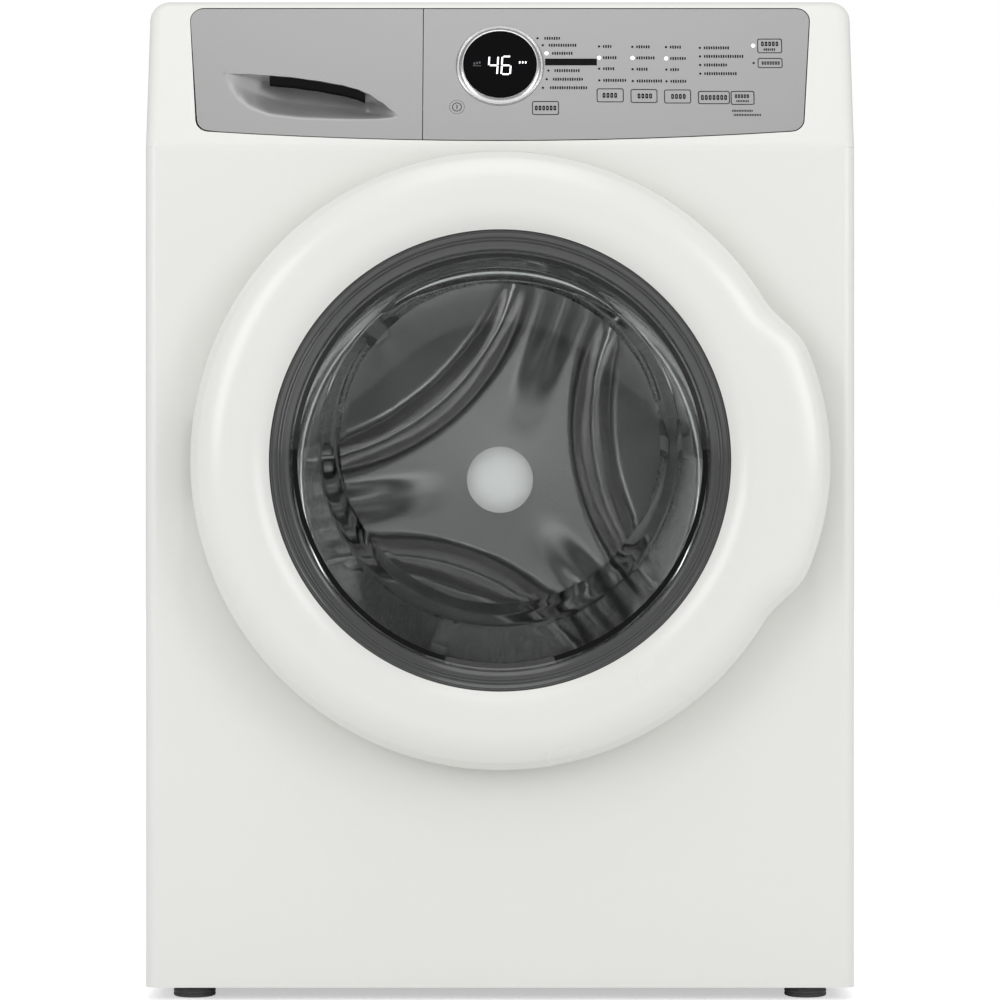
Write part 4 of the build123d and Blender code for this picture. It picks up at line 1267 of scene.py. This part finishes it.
# Pieces that keep their CAD shape get a finish
nodeFinish = {
    "whiteEnamel": ["cabinet_wrap", "rear_access_cover", "top_panel"],
    "silverFace": ["control_fascia"],
    "blackLens": ["display_lens"],
    "zincSteel": ["base_frame", "hinge_bracket", "cover_screws", "drum_bearings",
                  "drum_shaft", "motor_rotor", "door_strike", "door_hinge_arm"],
    "castAluminium": ["motor_housing", "drum_spider", "drum_pulley"],
    "tubPlastic": ["tub_front", "tub_rear"],
    "innerPlastic": ["dispenser_housing", "inlet_valves", "damper_rods", "drum_lifters",
                     "door_inner_frame", "drawer_tray"],
    "darkPlastic": ["door_lock", "drain_pump", "damper_cylinders", "power_gland"],
    "concrete": ["counterweight_upper", "counterweight_front"],
    "hoseRubber": ["fill_hoses", "drain_hose", "drive_belt"],
    "boardGreen": ["control_board"],
}
nodeFinish["silverFace"] += [name for name in nodes if name.endswith("_button")]
for finish, names in nodeFinish.items():
    for name in names:
        nodes[name].data.materials.clear()
        nodes[name].data.materials.append(materials[finish])


studio = {
    "floorColour": (0.84, 0.84, 0.84), "floorGlow": 0.5,    # the glow is for the camera only
    "worldStrength": 0.80, "glossStrength": 0.26, "backdrop": 1.0,
    "softLights": [  # name, place, target, width, height, power
        ("softboxLeft", (-2.4, -3.0, 1.7), (0, 0, 0.5), 1.2, 2.2, 26),
        ("softboxRight", (2.6, -2.8, 1.6), (0, 0, 0.5), 1.2, 2.2, 25),
        ("overhead", (0.0, -1.8, 3.4), (0, 0, 0.6), 1.8, 1.8, 14),
    ],
    "beamPlace": (0.0, -3.95, 0.53), "beamPower": 820.0, "beamAngle": 1.45,
    "beamColour": (1.0, 0.975, 0.97),
    "cameraDistance": 3.5, "cameraHeight": 0.4833, "pixelFocal": 3625.7, "imageWidth": 1000,
}

def addLight(name, kind, place, aim, power):
    data = bpy.data.lights.new(name, kind)
    data.energy = power
    light = bpy.data.objects.new(name, data)
    light.location = place
    light.rotation_euler = (Vector(aim) - Vector(place)).to_track_quat("-Z", "Y").to_euler()
    scene.collection.objects.link(light)
    return light

def makeLights():
    for name, place, aim, width, height, power in studio["softLights"]:
        light = addLight(name, "AREA", place, aim, power)
        light.data.shape = "RECTANGLE"
        light.data.size = width
        light.data.size_y = height
    # A narrow soft beam through the window picks out the hub of the drum
    hub = (0.0, rearWall["starY"] * mm, drumCentre.z)
    beam = addLight("hubSpot", "SPOT", studio["beamPlace"], hub, studio["beamPower"])
    beam.data.color = studio["beamColour"]
    beam.data.spot_size = math.radians(studio["beamAngle"])
    beam.data.spot_blend = 1.0
    beam.data.shadow_soft_size = 0.0
    beam.visible_glossy = False

def makeFloor():
    bm = bmesh.new()
    bmesh.ops.create_grid(bm, x_segments=2, y_segments=2, size=12.0)
    mesh = bpy.data.meshes.new("studioFloor")
    bm.to_mesh(mesh)
    bm.free()
    floor = bpy.data.objects.new("studioFloor", mesh)
    scene.collection.objects.link(floor)
    material = bpy.data.materials.new("paleFloor")
    material.use_nodes = True
    tree = material.node_tree
    shader = tree.nodes["Principled BSDF"]
    shader.inputs["Base Color"].default_value = (*studio["floorColour"], 1)
    shader.inputs["Roughness"].default_value = 0.9
    shader.inputs["Specular IOR Level"].default_value = 0.1
    shader.inputs["Emission Color"].default_value = (1, 1, 1, 1)
    path = tree.nodes.new("ShaderNodeLightPath")
    glow = mathNode(tree, "MULTIPLY", path.outputs["Is Camera Ray"], studio["floorGlow"])
    tree.links.new(glow, shader.inputs["Emission Strength"])
    mesh.materials.append(material)

def makeWorld():
    world = bpy.data.worlds.new("studioWorld")
    scene.world = world
    world.use_nodes = True
    tree = world.node_tree
    tree.nodes.remove(tree.nodes["Background"])
    whites = []
    for key in ("worldStrength", "glossStrength", "backdrop"):
        white = tree.nodes.new("ShaderNodeBackground")
        white.inputs["Color"].default_value = (1, 1, 1, 1)
        white.inputs["Strength"].default_value = studio[key]
        whites.append(white.outputs["Background"])
    soft, dim, backdrop = whites
    path = tree.nodes.new("ShaderNodeLightPath")
    lit = mixShaders(tree, path.outputs["Is Glossy Ray"], soft, dim)
    seen = mixShaders(tree, path.outputs["Is Camera Ray"], lit, backdrop)
    tree.links.new(seen, tree.nodes["World Output"].inputs["Surface"])
    scene.view_settings.view_transform = "Standard"

def makeCamera():
    data = bpy.data.cameras.new("frontCamera")
    data.sensor_width = 36.0
    data.lens = data.sensor_width * studio["pixelFocal"] / studio["imageWidth"]
    camera = bpy.data.objects.new("frontCamera", data)
    camera.location = (0, panelLow.y - studio["cameraDistance"], studio["cameraHeight"])
    camera.rotation_euler = (math.radians(90), 0, 0)
    scene.collection.objects.link(camera)
    scene.camera = camera


makeFloor()
makeWorld()
makeLights()
makeCamera()
print("studio made")
